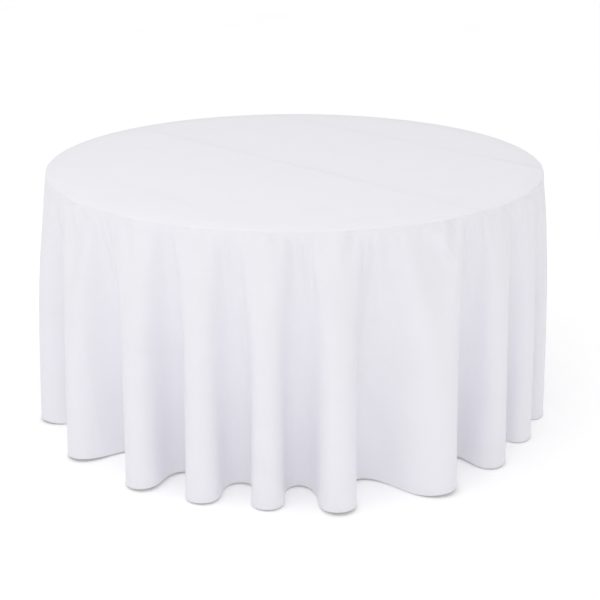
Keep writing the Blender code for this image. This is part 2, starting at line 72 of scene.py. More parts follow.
# ---- Cloth: folds ----
# Each fold: (angle round the table in degrees, how far it reaches as a share of an even fold's reach).
FRONT_CRESTS = (
    (-160, 1.0), (-140.5, 1.0), (-122, 1.0), (-108.5, 0.92), (-95, 0.86),
    (-81.4, 1.18), (-60.2, 1.0), (-44.5, 1.0), (-30.5, 0.9), (-18.5, 0.85),
)
FRONT_VALLEYS = (
    (-150.5, 1.0), (-131.5, 1.0), (-115.2, 1.0), (-101.7, 0.95), (-89.0, 0.95),
    (-74.4, 0.85), (-51.7, 1.0), (-37.5, 0.9), (-25, 0.8),
)
BACK_CRESTS = 13
BACK_VARIATION = 0.16
BACK_RHYTHM = 2.4
BACK_PHASE = 0.7
CREST_REACH = 0.080  # of an even crest outside the rim, at the hem
CREST_POWER = 0.5  # how it grows with depth
VALLEY_REACH = 0.081  # of an even valley inside the rim, at the hem
VALLEY_POWER = 0.62
SHARPEST_BEND = 2.3  # radians
LEAST_BEND = 0.001
BEND_STEPS = 240
LAZY_FOLD = 0.7  # how much less a half fold bends, the wider it is
LAZY_LIMITS = (0.5, 1.1)  # of that half fold's bend, as a share of an even one's
HALF_FOLD_STEPS = 24
LEAST_FULLNESS = 1.0001  # of a ring of cloth, as a share of the table's own round
REACH_LIMITS = (0.2, 3.0)  # between which a ring's reach is sought, to give it its true length
LENGTH_TRIES = 22

# ---- Cloth: the simulated grid ----
COLUMNS = 368
SKIRT_ROWS = 48
TOP_RINGS = (0.15, 0.3, 0.45, 0.6, 0.69, 0.73, 0.75)
RIM_ROWS = (0.006, 0.0125, 0.019)  # extra rows of the skirt, below the bend, along the moulding
PINNED_RINGS = 8
SIMULATED_FRAMES = 16
HOLD = 0.12  # how strongly the hem keeps to its start
HOLD_DEPTH = 0.6  # the share of the skirt over which that grows
COLLIDER_STEPS = 256
COLLIDER_CORNER = 0.0006  # of the rounded edge's middle point, in from the sharp corner
COLLIDER_CENTRE = 0.01  # the radius of the hole in the middle of the collider
COLLIDER_SPARE = 0.003  # extra depth that keeps the cloth clear of the moulding's lower corner
TABLE_GAP = 0.0008
FLOOR_GAP = 0.001
FLOOR_REACH = 2
FABRIC = {  # the cloth settings of a light polyester
    "quality": 8, "mass": 0.15, "tension_stiffness": 20, "compression_stiffness": 20,
    "shear_stiffness": 5, "bending_stiffness": 1, "tension_damping": 5, "compression_damping": 5,
    "shear_damping": 5, "bending_damping": 0.5, "air_damping": 1, "pin_stiffness": 20,
}

# ---- Cloth: the finished mesh ----
FINE_COLUMNS = 2 * COLUMNS
FINE_TOP_RINGS = 12
FINE_SKIRT_ROWS = 50
INNER_RING = 0.02  # the radius of the top's first ring
BEND_ROWS = 3
TOP_SWELL = 0.0006  # how far the flat top stands loose
TOP_SWELL_SIZE = 0.22
TOP_SWELL_MARGIN = 0.03  # flat, along the rim
TOP_SWELL_FADE = 0.15
EDGE_ZONE = 0.02  # inside the rim, where points are kept off the rounded edge

# ---- Cloth: hem and stitches ----
HEM_CLEARANCE = 0.0045  # of the hem's lowest point above the floor, before it settles
HEM_TOP = CLOTH_RADIUS - 0.012 + 0.001  # where the sheet ends, just below the turned edge's top
HEM_LAST_ROW = 0.0006  # from there back to the sheet's last row but one
# The turned edge's section: (height above the cloth's own edge, distance out from the sheet).
HEM_OUTSIDE = ((0.0118, 0.0003), (0.0112, 0.0006), (0.008, 0.00065), (0.003, 0.00065), (0.0008, 0.0005))
HEM_FOLD = ((0.0001, 0.0001), (0.0, -0.0004), (0.0002, -0.0009))
HEM_INSIDE = ((0.0012, -0.0013), (0.004, -0.0015), (0.008, -0.0015), (0.0114, -0.0013), (0.012, -0.0008))
HEM_TURNED_FROM = -0.0008  # points further in than this lie on the turned layer
TURNED_SHIFT = 0.05  # of the weave on the turned layer
NORMAL_STEP = 0.004  # up the cloth, from a ring to the one that its normals are taken with
STITCH_PITCH = 0.0034
STITCH_RISE = 0.0095
STITCH_SIDES = (0.0007, -0.0016)  # of the thread's middle, out from the sheet
STITCH_SHARES = (0.04, 0.2, 0.68, 0.84)  # of the pitch: tip, full thread, full thread, tip
THREAD_RADIUS = 0.00022

# ---- Cloth: material ----
CLOTH_COLOUR = (0.902, 0.896, 0.945)
THREAD_PAIR = 0.0011  # two threads of the weave
SLUB_SCALE = (18, 1400, 1)  # long along a thread, fine across it
CREASE_TURN = math.radians(46)
CREASE_SPACING = 0.508
CREASE_OFFSET = 0.062
MAIN_CREASE_WIDTH = 0.022
CROSS_CREASE_WIDTH = 0.005
WEAVE_DEPTH = 0.00002
SLUB_DEPTH = 0.00003
MAIN_CREASE_DEPTH = 0.0036
CROSS_CREASE_DEPTH = 0.0004
MOTTLE_DEPTH = 0.0012
WRINKLE_DEPTH = 0.0009
MOTTLE_SCALE = 9.0
WRINKLE_SCALE = 38.0
CREASE_FADE_SCALE = 2.2
SLUB_TONE = 0.3  # how much the threads and the mottling change the tone, and how much painted shade darkens the main creases
MOTTLE_TONE = 0.4
CREASE_PAINTED_SHADE = 0.22
DARK_TONE = 0.975  # of the cloth's colour

# ---- Table: sizes ----
LEG_TUBE_RADIUS = (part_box("right_pivot_tube")[1].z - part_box("right_pivot_tube")[0].z) / 2
TUBE_WALL = 0.0015
TUBE_STEPS = 48
RIM_STEPS = 240
SHARP_ANGLE = math.radians(40)
CORNER_STEPS = 3
PLATE_EDGE = 0.0004
BOARD_EDGE = 0.0004
KERF_DEPTH = 0.0093
KERF_HEIGHT = 0.0031
MOULDING_WIDTH = 0.003
MOULDING_TONGUE = 0.009
MOULDING_TONGUE_HALF = (0.001, 0.0006)  # half its thickness, at its root and its tip
MOULDING_ROUNDING = 0.002
MOULDING_CROWN = 0.0002
MOULDING_STEPS = 5
RUNNER_EDGE = 0.0025
FOOT_HEIGHT = 0.022
FOOT_RADIUS = LEG_TUBE_RADIUS + 0.0033
FOOT_LIP = 0.0012
FOOT_RIBS = 3
FOOT_RIB_START = 0.003
FOOT_RIB_STEP = 0.0045
FOOT_RIB_HEIGHT = 0.0016
FOOT_RIB_END = 0.002
FOOT_GROOVE = 0.0008
FOOT_GROOVE_DROP = 0.0022
TUBE_CLEARANCE = 0.0004
COPE_START = 0.02  # how far back along a tube its end's fit is measured from
WELD_RADIUS = 0.0016
WELD_RIPPLE = 0.18
WELD_RIPPLE_STEPS = 3
LINK_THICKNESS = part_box("right_brace_upper")[1].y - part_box("right_brace_upper")[0].y
LINK_HALF_WIDTH = 0.010
LINK_END_STEPS = 12
TAB_BEAD_SHARE = 0.85  # of the tab's width
TAB_BEAD_STEPS = 24
BRACE_BRACKET_HALF_WIDTH = 0.012
BRACE_BRACKET_STEPS = 16
FLANGE_CORNER = 0.004
PIVOT_BRACKET_CORNER = 0.002
PIVOT_BRACKET_STEPS = 10
FASTENER_STEPS = 32
SCREW_RADIUS = 0.002
SCREW_HEAD_RADIUS = 0.0042
SCREW_HEAD_HEIGHT = 0.0022
SCREW_HEAD_STEPS = 6
SCREW_CROWN = 0.05  # the flat middle of the head, as a share of its radius
SCREW_HEAD_EDGE = 0.0001  # how far the head's underside and the shoulder under it lie below the seat
SCREW_SHOULDER = 0.0003
SCREW_PITCH = 0.0013
SCREW_CORE = 0.72  # the thread's root, as a share of its crest
SCREW_ROOT_PLACE = 0.4  # of the root below the crest, as a share of the pitch
SCREW_NECK = 0.001  # below the head, before the thread
SCREW_POINT = 0.003
SCREW_TIP = 0.0002
SCREW_RECESS = (1.1 * SCREW_HEAD_RADIUS, 0.24 * SCREW_HEAD_RADIUS, 0.0024)
SCREW_TWIST = 1.1  # radians from one screw's recess to the next
RIVET_RADIUS = 0.003
RIVET_HEAD_RADIUS = 0.0055
RIVET_HEAD_HEIGHT = 0.002
RIVET_HEAD_STEPS = 8
RIVET_CROWN = 0.04
RIVET_HEAD_SHARE = 0.9  # of the head's radius, past which only the head reaches
RIVET_EDGE = 0.0002
RIVET_CLEARANCE = 0.0003
RIVET_HOLE_STEPS = 24

# ---- Light and camera ----
STUDIO_LIGHT = 1.21  # the studio's light from straight above
STUDIO_SHADES = (  # how bright it is elsewhere: (height of the direction, share)
    (0, 0.84), (0.03, 0.5), (0.08, 0.24), (1, 1.0),
)
FLOOR_GLOW = 0.19
LAMPS = (  # name, place, side of the square lamp, power, aim
    ("key", (-1.1, -1.3, 2.7), 1.3, 6, (0, 0, 0.75)),
    ("front", (-0.3, -5.5, 1.6), 3.0, 16, (0, 0, 0.5)),
)
STAGE_REACH = 40
CAMERA_LENS = 62.3
CAMERA_PLACE = (0.0165, -3.204, 1.51)
CAMERA_TILT = math.radians(69.18)


def smooth_step(value):
    value = min(1.0, max(0.0, value))
    return value * value * (3 - 2 * value)


# ---- Cloth: the pleated start ----
def fold_marks():
    """The crests and valleys round the table: (angle, is it a crest, its share of an even reach)."""
    marks = [(math.radians(angle), True, share) for angle, share in FRONT_CRESTS]
    marks += [(math.radians(angle), False, share) for angle, share in FRONT_VALLEYS]
    start = math.radians(FRONT_CRESTS[-1][0])
    gap = math.radians(FRONT_CRESTS[0][0] + 360) - start
    waves = [BACK_RHYTHM * i + BACK_PHASE for i in range(2 * BACK_CRESTS + 2)]
    widths = [1 + BACK_VARIATION * math.sin(wave) for wave in waves]
    at = start
    for i, width in enumerate(widths[:-1]):
        at += gap * width / sum(widths)
        marks.append((at, i % 2 == 1, 1.0))
    return sorted(marks)


class Pleats:
    """Plan curves of the hanging cloth, whose half folds are sine-generated, as a bent strip is."""

    def __init__(self):
        marks = fold_marks()
        self.angles = np.array([mark[0] for mark in marks])
        self.crest = np.array([mark[1] for mark in marks])
        self.following = np.r_[self.angles[1:], self.angles[0] + 2 * math.pi]
        before = np.r_[self.angles[-1] - 2 * math.pi, self.angles[:-1]]
        widths = self.following - before
        self.reach = np.sqrt(widths / widths.mean()) * np.array([mark[2] for mark in marks])
        self.along = (np.arange(HALF_FOLD_STEPS) + 0.5) / HALF_FOLD_STEPS
        self.bends = np.linspace(0, SHARPEST_BEND, BEND_STEPS)
        turns = np.outer(self.bends, np.sin(math.pi * self.along))
        self.chords = np.cos(turns).mean(axis=1)

    def half_folds(self, fullness):
        """Shares of the width and height along each half fold, whose path is fullness times its width."""
        bend = np.interp(1 / fullness, self.chords[::-1], self.bends[::-1])
        widths = self.following - self.angles
        bends = max(bend, LEAST_BEND) * np.clip((widths.mean() / widths) ** LAZY_FOLD, *LAZY_LIMITS)
        turn = bends[:, None] * np.sin(math.pi * self.along)
        start = np.zeros((len(widths), 1))
        across = np.hstack([start, np.cumsum(np.cos(turn), axis=1)])
        up = np.hstack([start, np.cumsum(np.sin(turn), axis=1)])
        return across[:, :-1] / across[:, -1:], up[:, :-1] / up[:, -1:]

    def curve(self, depth, shape, scale):
        """Points of the closed plan curve at a depth of 0 to 1, and the length along it."""
        free = (TOP_THICKNESS + RIM_BEND) / TABLE_TOP
        below = max(0.0, depth - free) / (1 - free)
        rim = TABLE_RADIUS + SHEET_LIFT
        out = rim + scale * self.reach * CREST_REACH * depth ** CREST_POWER
        inside = rim - scale * self.reach * VALLEY_REACH * below ** VALLEY_POWER
        start = np.where(self.crest, out, inside)
        end = np.roll(start, -1)
        across, up = shape
        angles = self.angles[:, None] + (self.following - self.angles)[:, None] * across
        radii = (start[:, None] + (end - start)[:, None] * up).ravel()
        points = np.stack([radii * np.cos(angles.ravel()), radii * np.sin(angles.ravel())], axis=1)
        points = np.vstack([points, points[:1]])
        steps = np.linalg.norm(np.diff(points, axis=0), axis=1)
        return points, np.r_[0, np.cumsum(steps)]

    def ring(self, depth, flat_radius):
        """The cloth's columns at a depth, on a curve as long as the flat cloth's circle of that radius."""
        shape = self.half_folds(max(LEAST_FULLNESS, flat_radius / TABLE_RADIUS))
        low, high = REACH_LIMITS
        for _ in range(LENGTH_TRIES):
            scale = (low + high) / 2
            points, length = self.curve(depth, shape, scale)
            if length[-1] < 2 * math.pi * flat_radius:
                low = scale
            else:
                high = scale
        at = np.arange(COLUMNS) / COLUMNS * length[-1]
        return np.stack([np.interp(at, length, points[:, i]) for i in (0, 1)], axis=1)


def skirt_radii(rows, end):
    """Radii on the flat cloth of the skirt's rows below its bend, close together along the moulding."""
    along_rim = [SKIRT_START + offset for offset in RIM_ROWS]
    return [*along_rim, *np.linspace(along_rim[-1], end, rows - len(RIM_ROWS) + 1)[1:]]


def pleated_start():
    """Rings of points of the cloth before simulation, and each ring's radius on the flat cloth."""
    pleats = Pleats()
    around = pleats.angles[0] + 2 * math.pi * np.arange(COLUMNS) / COLUMNS
    unit = np.stack([np.cos(around), np.sin(around)], axis=1)
    top = TABLE_TOP + SHEET_LIFT
    flat = [*TOP_RINGS, RIM_START]
    rings = [np.column_stack([radius * unit, np.full(COLUMNS, top)]) for radius in flat]
    height = np.full(COLUMNS, top - RIM_BEND)
    at = pleats.ring((TABLE_TOP - top + RIM_BEND) / TABLE_TOP * 2, SKIRT_START + SHEET_LIFT)
    rings.append(np.column_stack([at, height]))
    flat.append(SKIRT_START)
    for radius in skirt_radii(SKIRT_ROWS, CLOTH_RADIUS):
        step = radius - flat[-1]
        flat.append(radius)
        new = pleats.ring((radius - SKIRT_START) / (CLOTH_RADIUS - SKIRT_START), radius)
        sideways = np.linalg.norm(new - at, axis=1)
        height = height - np.sqrt(np.maximum(step ** 2 - sideways ** 2, (step / 2) ** 2))
        at = new
        rings.append(np.column_stack([at, height]))
    return np.array(rings), np.array(flat), unit


def lift_clear(rings, lowest):
    """Scale the hang a little, so that its lowest point is just above the floor."""
    top = rings[0, 0, 2]
    share = (top - lowest) / (top - rings[..., 2].min())
    rings[..., 2] = top - (top - rings[..., 2]) * share
    return rings


# ---- Grids and objects ----
def grid_faces(rows, columns, wrapped=False):
    """Faces of a grid of points whose rows are rings. Wrapped, the last ring also joins the first."""
    row, i = np.meshgrid(np.arange(rows if wrapped else rows - 1), np.arange(columns), indexing="ij")
    start, below, j = row * columns, (row + 1) % rows * columns, (i + 1) % columns
    corners = [start + i, below + i, below + j, start + j]
    return np.stack(corners, axis=-1).reshape(-1, 4).tolist()


def turned_points(profile, steps):
    """Rings of points of a profile of (radius, height) points turned about Z."""
    angles = [2 * math.pi * i / steps for i in range(steps)]
    return [(r * math.cos(a), r * math.sin(a), z) for r, z in profile for a in angles]


def new_object(name, data):
    item = bpy.data.objects.new(name, data)
    bpy.context.scene.collection.objects.link(item)
    return item


def mesh_object(name, points, faces):
    mesh = bpy.data.meshes.new(name)
    mesh.from_pydata([tuple(point) for point in points], [], faces)
    mesh.validate()
    mesh.shade_smooth()
    return new_object(name, mesh)


def square(name, reach):
    """A level square at the floor's height."""
    corners = [(-reach, -reach, 0), (reach, -reach, 0), (reach, reach, 0), (-reach, reach, 0)]
    return mesh_object(name, corners, [(0, 1, 2, 3)])


# ---- Cloth: simulation ----
def collider(item, gap):
    item.modifiers.new("Collision", "COLLISION")
    item.collision.thickness_outer = gap
    item.collision.cloth_friction = 20
    item.collision.damping = 0.1
    return item


def table_collider():
    """A plain disc the size of the table top, a little thicker, with the moulding's rounded edge."""
    radius, high, low = TABLE_RADIUS, TABLE_TOP, TABLE_TOP - TOP_THICKNESS - COLLIDER_SPARE
    profile = [
        (COLLIDER_CENTRE, high), (radius - MOULDING_ROUNDING, high),
        (radius - COLLIDER_CORNER, high - COLLIDER_CORNER), (radius, high - MOULDING_ROUNDING),
        (radius, low), (COLLIDER_CENTRE, low),
    ]
    points = turned_points(profile, COLLIDER_STEPS)
    faces = grid_faces(len(profile), COLLIDER_STEPS)
    return collider(mesh_object("table_collider", points, faces), TABLE_GAP)


def simulate(rings, flat, unit):
    """Let the pleated cloth settle under its own weight over the table top."""
    count = len(rings)
    item = mesh_object("falling_cloth", rings.reshape(-1, 3), grid_faces(count, COLUMNS))
    item.shape_key_add(name="Basis")
    rest = item.shape_key_add(name="flat")
    level = np.full((count, COLUMNS, 1), rings[0, 0, 2])
    disc = np.concatenate([flat[:, None, None] * unit[None], level], axis=2)
    rest.data.foreach_set("co", disc.ravel())
    rest.value = 0

    hold = item.vertex_groups.new(name="hold")
    hold.add(list(range(COLUMNS * PINNED_RINGS)), 1.0, "REPLACE")
    first = count - SKIRT_ROWS
    for row in range(first, count):
        weight = HOLD * smooth_step((row - first) / (SKIRT_ROWS - 1) / HOLD_DEPTH)
        hold.add(list(range(COLUMNS * row, COLUMNS * (row + 1))), weight, "REPLACE")

    colliders = [table_collider(), collider(square("floor_collider", FLOOR_REACH), FLOOR_GAP)]
    cloth = item.modifiers.new("Cloth", "CLOTH")
    for setting, value in FABRIC.items():
        setattr(cloth.settings, setting, value)
    cloth.settings.vertex_group_mass = "hold"
    cloth.settings.rest_shape_key = rest
    cloth.collision_settings.distance_min = 0.001
    cloth.collision_settings.use_self_collision = False
    cloth.point_cache.frame_start = 1
    cloth.point_cache.frame_end = SIMULATED_FRAMES
    scene = bpy.context.scene
    scene.frame_start, scene.frame_end = 1, SIMULATED_FRAMES
    for number in range(1, SIMULATED_FRAMES + 1):
        scene.frame_set(number)
    settled = item.evaluated_get(bpy.context.evaluated_depsgraph_get()).to_mesh()
    points = np.empty(len(settled.vertices) * 3)
    settled.vertices.foreach_get("co", points)
    scene.frame_set(1)
    for piece in (item, *colliders):
        bpy.data.objects.remove(piece, do_unlink=True)
    return points.reshape(count, COLUMNS, 3)


# ---- Cloth: the finished pieces ----
def spline_weights(t):
    """Catmull-Rom weights of the four points round a place, a share t from the second to the third."""
    return (
        (-t ** 3 + 2 * t ** 2 - t) / 2, (3 * t ** 3 - 5 * t ** 2 + 2) / 2,
        (-3 * t ** 3 + 4 * t ** 2 + t) / 2, (t ** 3 - t ** 2) / 2,
    )


class Drape:
    """The settled cloth as a smooth surface, read at any radius of the flat cloth."""

    def __init__(self, rings, flat, unit):
        halves = spline_weights(0.5)
        middles = sum(w * np.roll(rings, 1 - i, axis=1) for i, w in enumerate(halves))
        self.rings = np.stack([rings, middles], axis=2).reshape(len(rings), FINE_COLUMNS, 3)
        start = math.atan2(unit[0, 1], unit[0, 0])
        around = start + 2 * math.pi * np.arange(FINE_COLUMNS) / FINE_COLUMNS
        self.unit = np.stack([np.cos(around), np.sin(around)], axis=1)
        self.flat = flat

    def ring(self, radius):
        """The points of one ring of the flat cloth, where they hang."""
        last = len(self.flat) - 1
        at = float(np.interp(radius, self.flat, np.arange(last + 1)))
        row = min(int(at), last - 1)
        rows = [min(max(row + i, 0), last) for i in (-1, 0, 1, 2)]
        return sum(w * self.rings[r] for r, w in zip(rows, spline_weights(at - row)))

    def flat_ring(self, radius):
        return np.column_stack([radius * self.unit, np.zeros(FINE_COLUMNS)])


def swell_top(points):
    """Loosen the flat top by a fraction of a millimetre, fading out at the rim."""
    for point in points:
        inside = TABLE_RADIUS - TOP_SWELL_MARGIN - math.hypot(point[0], point[1])
        fade = smooth_step(inside / TOP_SWELL_FADE)
        rise = 0.5 + 0.5 * noise.noise(Vector(point) / TOP_SWELL_SIZE)
        point[2] += TOP_SWELL * rise * fade
    return points


def clear_of_top(points):
    """Push points off the table top's rounded edge where they lie nearer than the sheet's clearance."""
    radius = np.linalg.norm(points[:, :2], axis=1)
    rounding = MOULDING_ROUNDING
    middle = TABLE_TOP - TOP_THICKNESS / 2
    beside = np.maximum(radius - TABLE_RADIUS + rounding, 0)
    above = np.maximum(np.abs(points[:, 2] - middle) - TOP_THICKNESS / 2 + rounding, 0)
    side = np.sign(points[:, 2] - middle)
    distance = np.hypot(beside, above)
    least = rounding + SHEET_CLEARANCE
    near = (distance > 0) & (distance < least) & (radius > TABLE_RADIUS - EDGE_ZONE)
    grow = np.where(near, least / np.maximum(distance, 1e-9), 1) - 1
    new_radius = radius + grow * beside
    moved = points.copy()
    moved[:, :2] *= (new_radius / radius)[:, None]
    moved[:, 2] += side * grow * above
    return moved


def remember_flat(item, positions):
    """Store where each point lies on the flat cloth, which the weave and the press creases follow."""
    attribute = item.data.attributes.new("flat", "FLOAT_VECTOR", "POINT")
    attribute.data.foreach_set("vector", np.asarray(positions, np.float32).ravel())


def sheet_piece(drape):
    """The cloth down to its hem, as one closed thin sheet."""
    top = np.linspace(INNER_RING, RIM_START, FINE_TOP_RINGS)
    bend = np.linspace(RIM_START, SKIRT_START, BEND_ROWS + 1)[1:]
    skirt = skirt_radii(FINE_SKIRT_ROWS, HEM_TOP)
    radii = [*top, *bend, *skirt[:-1], HEM_TOP - HEM_LAST_ROW, HEM_TOP]
    rings, flats = [], []
    for radius in radii:
        inner = radius < TOP_RINGS[0]
        ring = drape.ring(TOP_RINGS[0]) if inner else drape.ring(radius)
        if inner:
            ring = ring * np.array([radius / TOP_RINGS[0], radius / TOP_RINGS[0], 1])
        rings.append(clear_of_top(ring))
        flats.append(drape.flat_ring(radius))
    points = np.concatenate(rings)
    middle = np.array([[0, 0, points[0, 2]]])
    points = swell_top(np.concatenate([points, middle]))
    faces = grid_faces(len(rings), FINE_COLUMNS)
    centre = len(points) - 1
    faces += [(centre, i, (i + 1) % FINE_COLUMNS) for i in range(FINE_COLUMNS)]
    item = mesh_object("white_tablecloth", points, faces)
    remember_flat(item, np.concatenate([*flats, np.zeros((1, 3))]))
    shell = item.modifiers.new("Thickness", "SOLIDIFY")
    shell.thickness = SHEET_THICKNESS
    shell.offset = 0
    return item


def ring_normals(upper, lower):
    """Outward directions of a ring, from its own run and the line down to the next ring."""
    along = np.roll(upper, -1, axis=0) - np.roll(upper, 1, axis=0)
    normals = np.cross(lower - upper, along)
    return normals / np.linalg.norm(normals, axis=1)[:, None]


def hem_piece(drape):
    """The turned edge: a closed band, flush outside and thicker inside, with a rounded lower fold."""
    rings, flats = [], []
    for rise, offset in (*HEM_OUTSIDE, *HEM_FOLD, *HEM_INSIDE):
        radius = CLOTH_RADIUS - rise
        ring = drape.ring(radius)
        normals = ring_normals(drape.ring(radius - NORMAL_STEP), ring)
        rings.append(ring + offset * normals)
        flats.append(drape.flat_ring(radius + TURNED_SHIFT * (offset < HEM_TURNED_FROM)))
    faces = grid_faces(len(rings), FINE_COLUMNS, wrapped=True)
    item = mesh_object("turned_hem", np.concatenate(rings), faces)
    remember_flat(item, np.concatenate(flats))
    return item


def stitching_piece(drape):
    """The hem's row of stitches, seen on both sides of the cloth, each a short thread with tapered ends."""
    line = CLOTH_RADIUS - STITCH_RISE
    ring = drape.ring(line)
    normals = ring_normals(drape.ring(line - NORMAL_STEP), ring)
    steps = np.linalg.norm(np.diff(np.vstack([ring, ring[:1]]), axis=0), axis=1)
    length = np.r_[0, np.cumsum(steps)]
    count = int(length[-1] / STITCH_PITCH)
    closed = [np.vstack([values, values[:1]]) for values in (ring, normals)]
    at = (np.arange(count)[:, None] + np.array(STITCH_SHARES)) * STITCH_PITCH
    spots, outs = [np.stack([np.interp(at, length, v[:, i]) for i in range(3)], axis=-1) for v in closed]
    up = np.array([0, 0, THREAD_RADIUS])
    points, faces = [], []
    for offset in STITCH_SIDES:
        for spot, out in zip(spots, outs):
            middle = spot + offset * out
            first = len(points)
            points.append(middle[0])
            for i in (1, 2):
                side = THREAD_RADIUS * out[i]
                points += [middle[i] + side, middle[i] + up, middle[i] - side, middle[i] - up]
            points.append(middle[3])
            for i in range(4):
                j = (i + 1) % 4
                faces.append((first, first + 1 + i, first + 1 + j))
                faces.append((first + 1 + i, first + 5 + i, first + 5 + j, first + 1 + j))
                faces.append((first + 9, first + 5 + j, first + 5 + i))
    return mesh_object("hem_stitching", points, faces)


# ---- Table: shape helpers ----
def crisp(item):
    """Shade a mesh smooth, apart from its sharp edges."""
    item.data.shade_smooth()
    item.data.set_sharp_from_angle(angle=SHARP_ANGLE)
    return item


def rounded(outline, radius, closed=True):
    """An outline with each corner replaced by a short arc that starts and ends a radius away from it."""
    points = [Vector(point) for point in outline]
    result = []
    for i, corner in enumerate(points):
        if not closed and i in (0, len(points) - 1):
            result.append(corner)
            continue
        before, after = points[i - 1], points[(i + 1) % len(points)]
        near = corner + (before - corner).normalized() * min(radius, (before - corner).length / 2)
        far = corner + (after - corner).normalized() * min(radius, (after - corner).length / 2)
        for step in range(CORNER_STEPS + 1):
            t = step / CORNER_STEPS
            result.append(near * (1 - t) ** 2 + corner * 2 * t * (1 - t) + far * t ** 2)
    return [tuple(point) for point in result]


def arc(centre, radius, start, sweep, steps):
    """Points along an arc in degrees, with both ends."""
    angles = [math.radians(start + sweep * i / steps) for i in range(steps + 1)]
    return [(centre[0] + radius * math.cos(a), centre[1] + radius * math.sin(a)) for a in angles]


def round_hole(x, radius, steps):
    return arc((x, 0), radius, 0, 360 - 360 / steps, steps - 1)


def lathe(name, profile, steps, ring=False):
    """A profile of (radius, height) points turned about Z, with flat ends, or closed into a ring."""
    count = len(profile)
    faces = grid_faces(count, steps, wrapped=ring)
    if not ring:
        faces += [tuple(range(steps - 1, -1, -1)), tuple(range((count - 1) * steps, count * steps))]
    item = mesh_object(name, turned_points(profile, steps), faces)
    shape = bmesh.new()
    shape.from_mesh(item.data)
    bmesh.ops.recalc_face_normals(shape, faces=shape.faces)
    shape.to_mesh(item.data)
    shape.free()
    return crisp(item)


def as_mesh(item, name):
    """The evaluated shape of an object as a plain mesh object in its place."""
    graph = bpy.context.evaluated_depsgraph_get()
    result = new_object(name, bpy.data.meshes.new_from_object(item.evaluated_get(graph)))
    result.matrix_world = item.matrix_world.copy()
    bpy.data.objects.remove(item, do_unlink=True)
    return result


def bevelled_curve(name, dimensions, bevel):
    curve = bpy.data.curves.new(name, "CURVE")
    curve.dimensions = dimensions
    curve.bevel_depth = bevel
    curve.bevel_resolution = 2
    return curve


def add_path(curve, path, closed):
    """Add a spline of straight runs through 3D points to a curve."""
    spline = curve.splines.new("POLY")
    spline.points.add(len(path) - 1)
    for point, spot in zip(spline.points, path):
        point.co = (*spot, 1)
    spline.use_cyclic_u = closed
    return spline


def plate(name, outlines, thickness):
    """A flat plate with softened edges, from its outline and the outlines of its holes, centred on z 0."""
    curve = bevelled_curve(name, "2D", PLATE_EDGE)
    curve.fill_mode = "BOTH"
    curve.extrude = thickness / 2 - PLATE_EDGE
    curve.offset = -PLATE_EDGE
    for outline in outlines:
        add_path(curve, [(x, y, 0) for x, y in outline], True)
    return crisp(as_mesh(new_object(name, curve), name))


def softened_box(name, low, high, edge):
    """A box between two corners with its edges rounded over."""
    low, high = Vector(low), Vector(high)
    bpy.ops.mesh.primitive_cube_add(size=1)
    item = bpy.context.active_object
    item.name = name
    item.data.transform(Matrix.Translation((low + high) / 2) @ Matrix.Diagonal((*(high - low), 1)))
    bevel = item.modifiers.new("Edges", "BEVEL")
    bevel.width = edge
    bevel.segments = CORNER_STEPS
    return crisp(as_mesh(item, name))


def join(first, *others):
    """Put the other objects' shapes into the first one's mesh, where they lie."""
    shape = bmesh.new()
    inverse = first.matrix_world.inverted()
    for item in (first, *others):
        start = len(shape.verts)
        shape.from_mesh(item.data)
        shape.verts.ensure_lookup_table()
        if item is not first:
            bmesh.ops.transform(shape, matrix=inverse @ item.matrix_world, verts=shape.verts[start:])
    shape.to_mesh(first.data)
    shape.free()
    for item in others:
        bpy.data.objects.remove(item, do_unlink=True)
    return first


def weld_bead(name, path, closed):
    """A rippled bead of weld metal along a path."""
    curve = bevelled_curve(name, "3D", WELD_RADIUS)
    curve.use_fill_caps = not closed
    for i, point in enumerate(add_path(curve, path, closed).points):
        point.radius = 1 + WELD_RIPPLE * math.sin(2 * math.pi * i / WELD_RIPPLE_STEPS)
    item = as_mesh(new_object(name, curve), name)
    item.data.shade_smooth()
    return item


def distance_to_tube(spot, direction, axis_spot, axis, radius):
    """How far a point goes in a direction before it meets the surface of a round tube."""
    across = direction - axis * direction.dot(axis)
    offset = (spot - axis_spot) - axis * (spot - axis_spot).dot(axis)
    a, b, c = across.length_squared, 2 * across.dot(offset), offset.length_squared - radius ** 2
    return (-b - math.sqrt(max(0.0, b * b - 4 * a * c))) / (2 * a)


def coped_tube(name, start, end, radius, copes):
    """A tube between two points. A cope at an end, (axis point, axis, radius), fits it to another tube."""
    start, end = Vector(start), Vector(end)
    direction = (end - start).normalized()
    turn = direction.to_track_quat("Z", "Y").to_matrix()
    inner = radius - TUBE_WALL
    rings = []
    for wall_radius, heading in ((inner, 1), (radius, 1), (radius, -1), (inner, -1)):
        cope = copes[0] if heading > 0 else copes[1]
        base = start if heading > 0 else end
        ring = []
        for point in turned_points([(wall_radius, 0)], TUBE_STEPS):
            spot = base + turn @ Vector(point)
            if cope:
                back = spot + heading * direction * COPE_START
                spot = back - heading * direction * distance_to_tube(back, -heading * direction, *cope)
            ring.append(spot)
        rings.append(ring)
    points = [spot for ring in rings for spot in ring]
    item = crisp(mesh_object(name, points, grid_faces(len(rings), TUBE_STEPS, wrapped=True)))
    beads = [
        weld_bead(f"{name}_bead_{i}", rings[row], True)
        for i, (row, cope) in enumerate(((1, copes[0]), (2, copes[1]))) if cope
    ]
    return join(item, *beads)


def show(item, node, finish):
    """A finished piece stands for its CAD node, rides on that node's body and takes the finish's material."""
    slot_name, made = finish
    item.name = f"fine_{node}"
    if not item.data.materials:
        item.data.materials.append(made)
    else:
        item.data.materials[0] = made
    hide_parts(node)
    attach(item, BODY_OF[node])
    return item


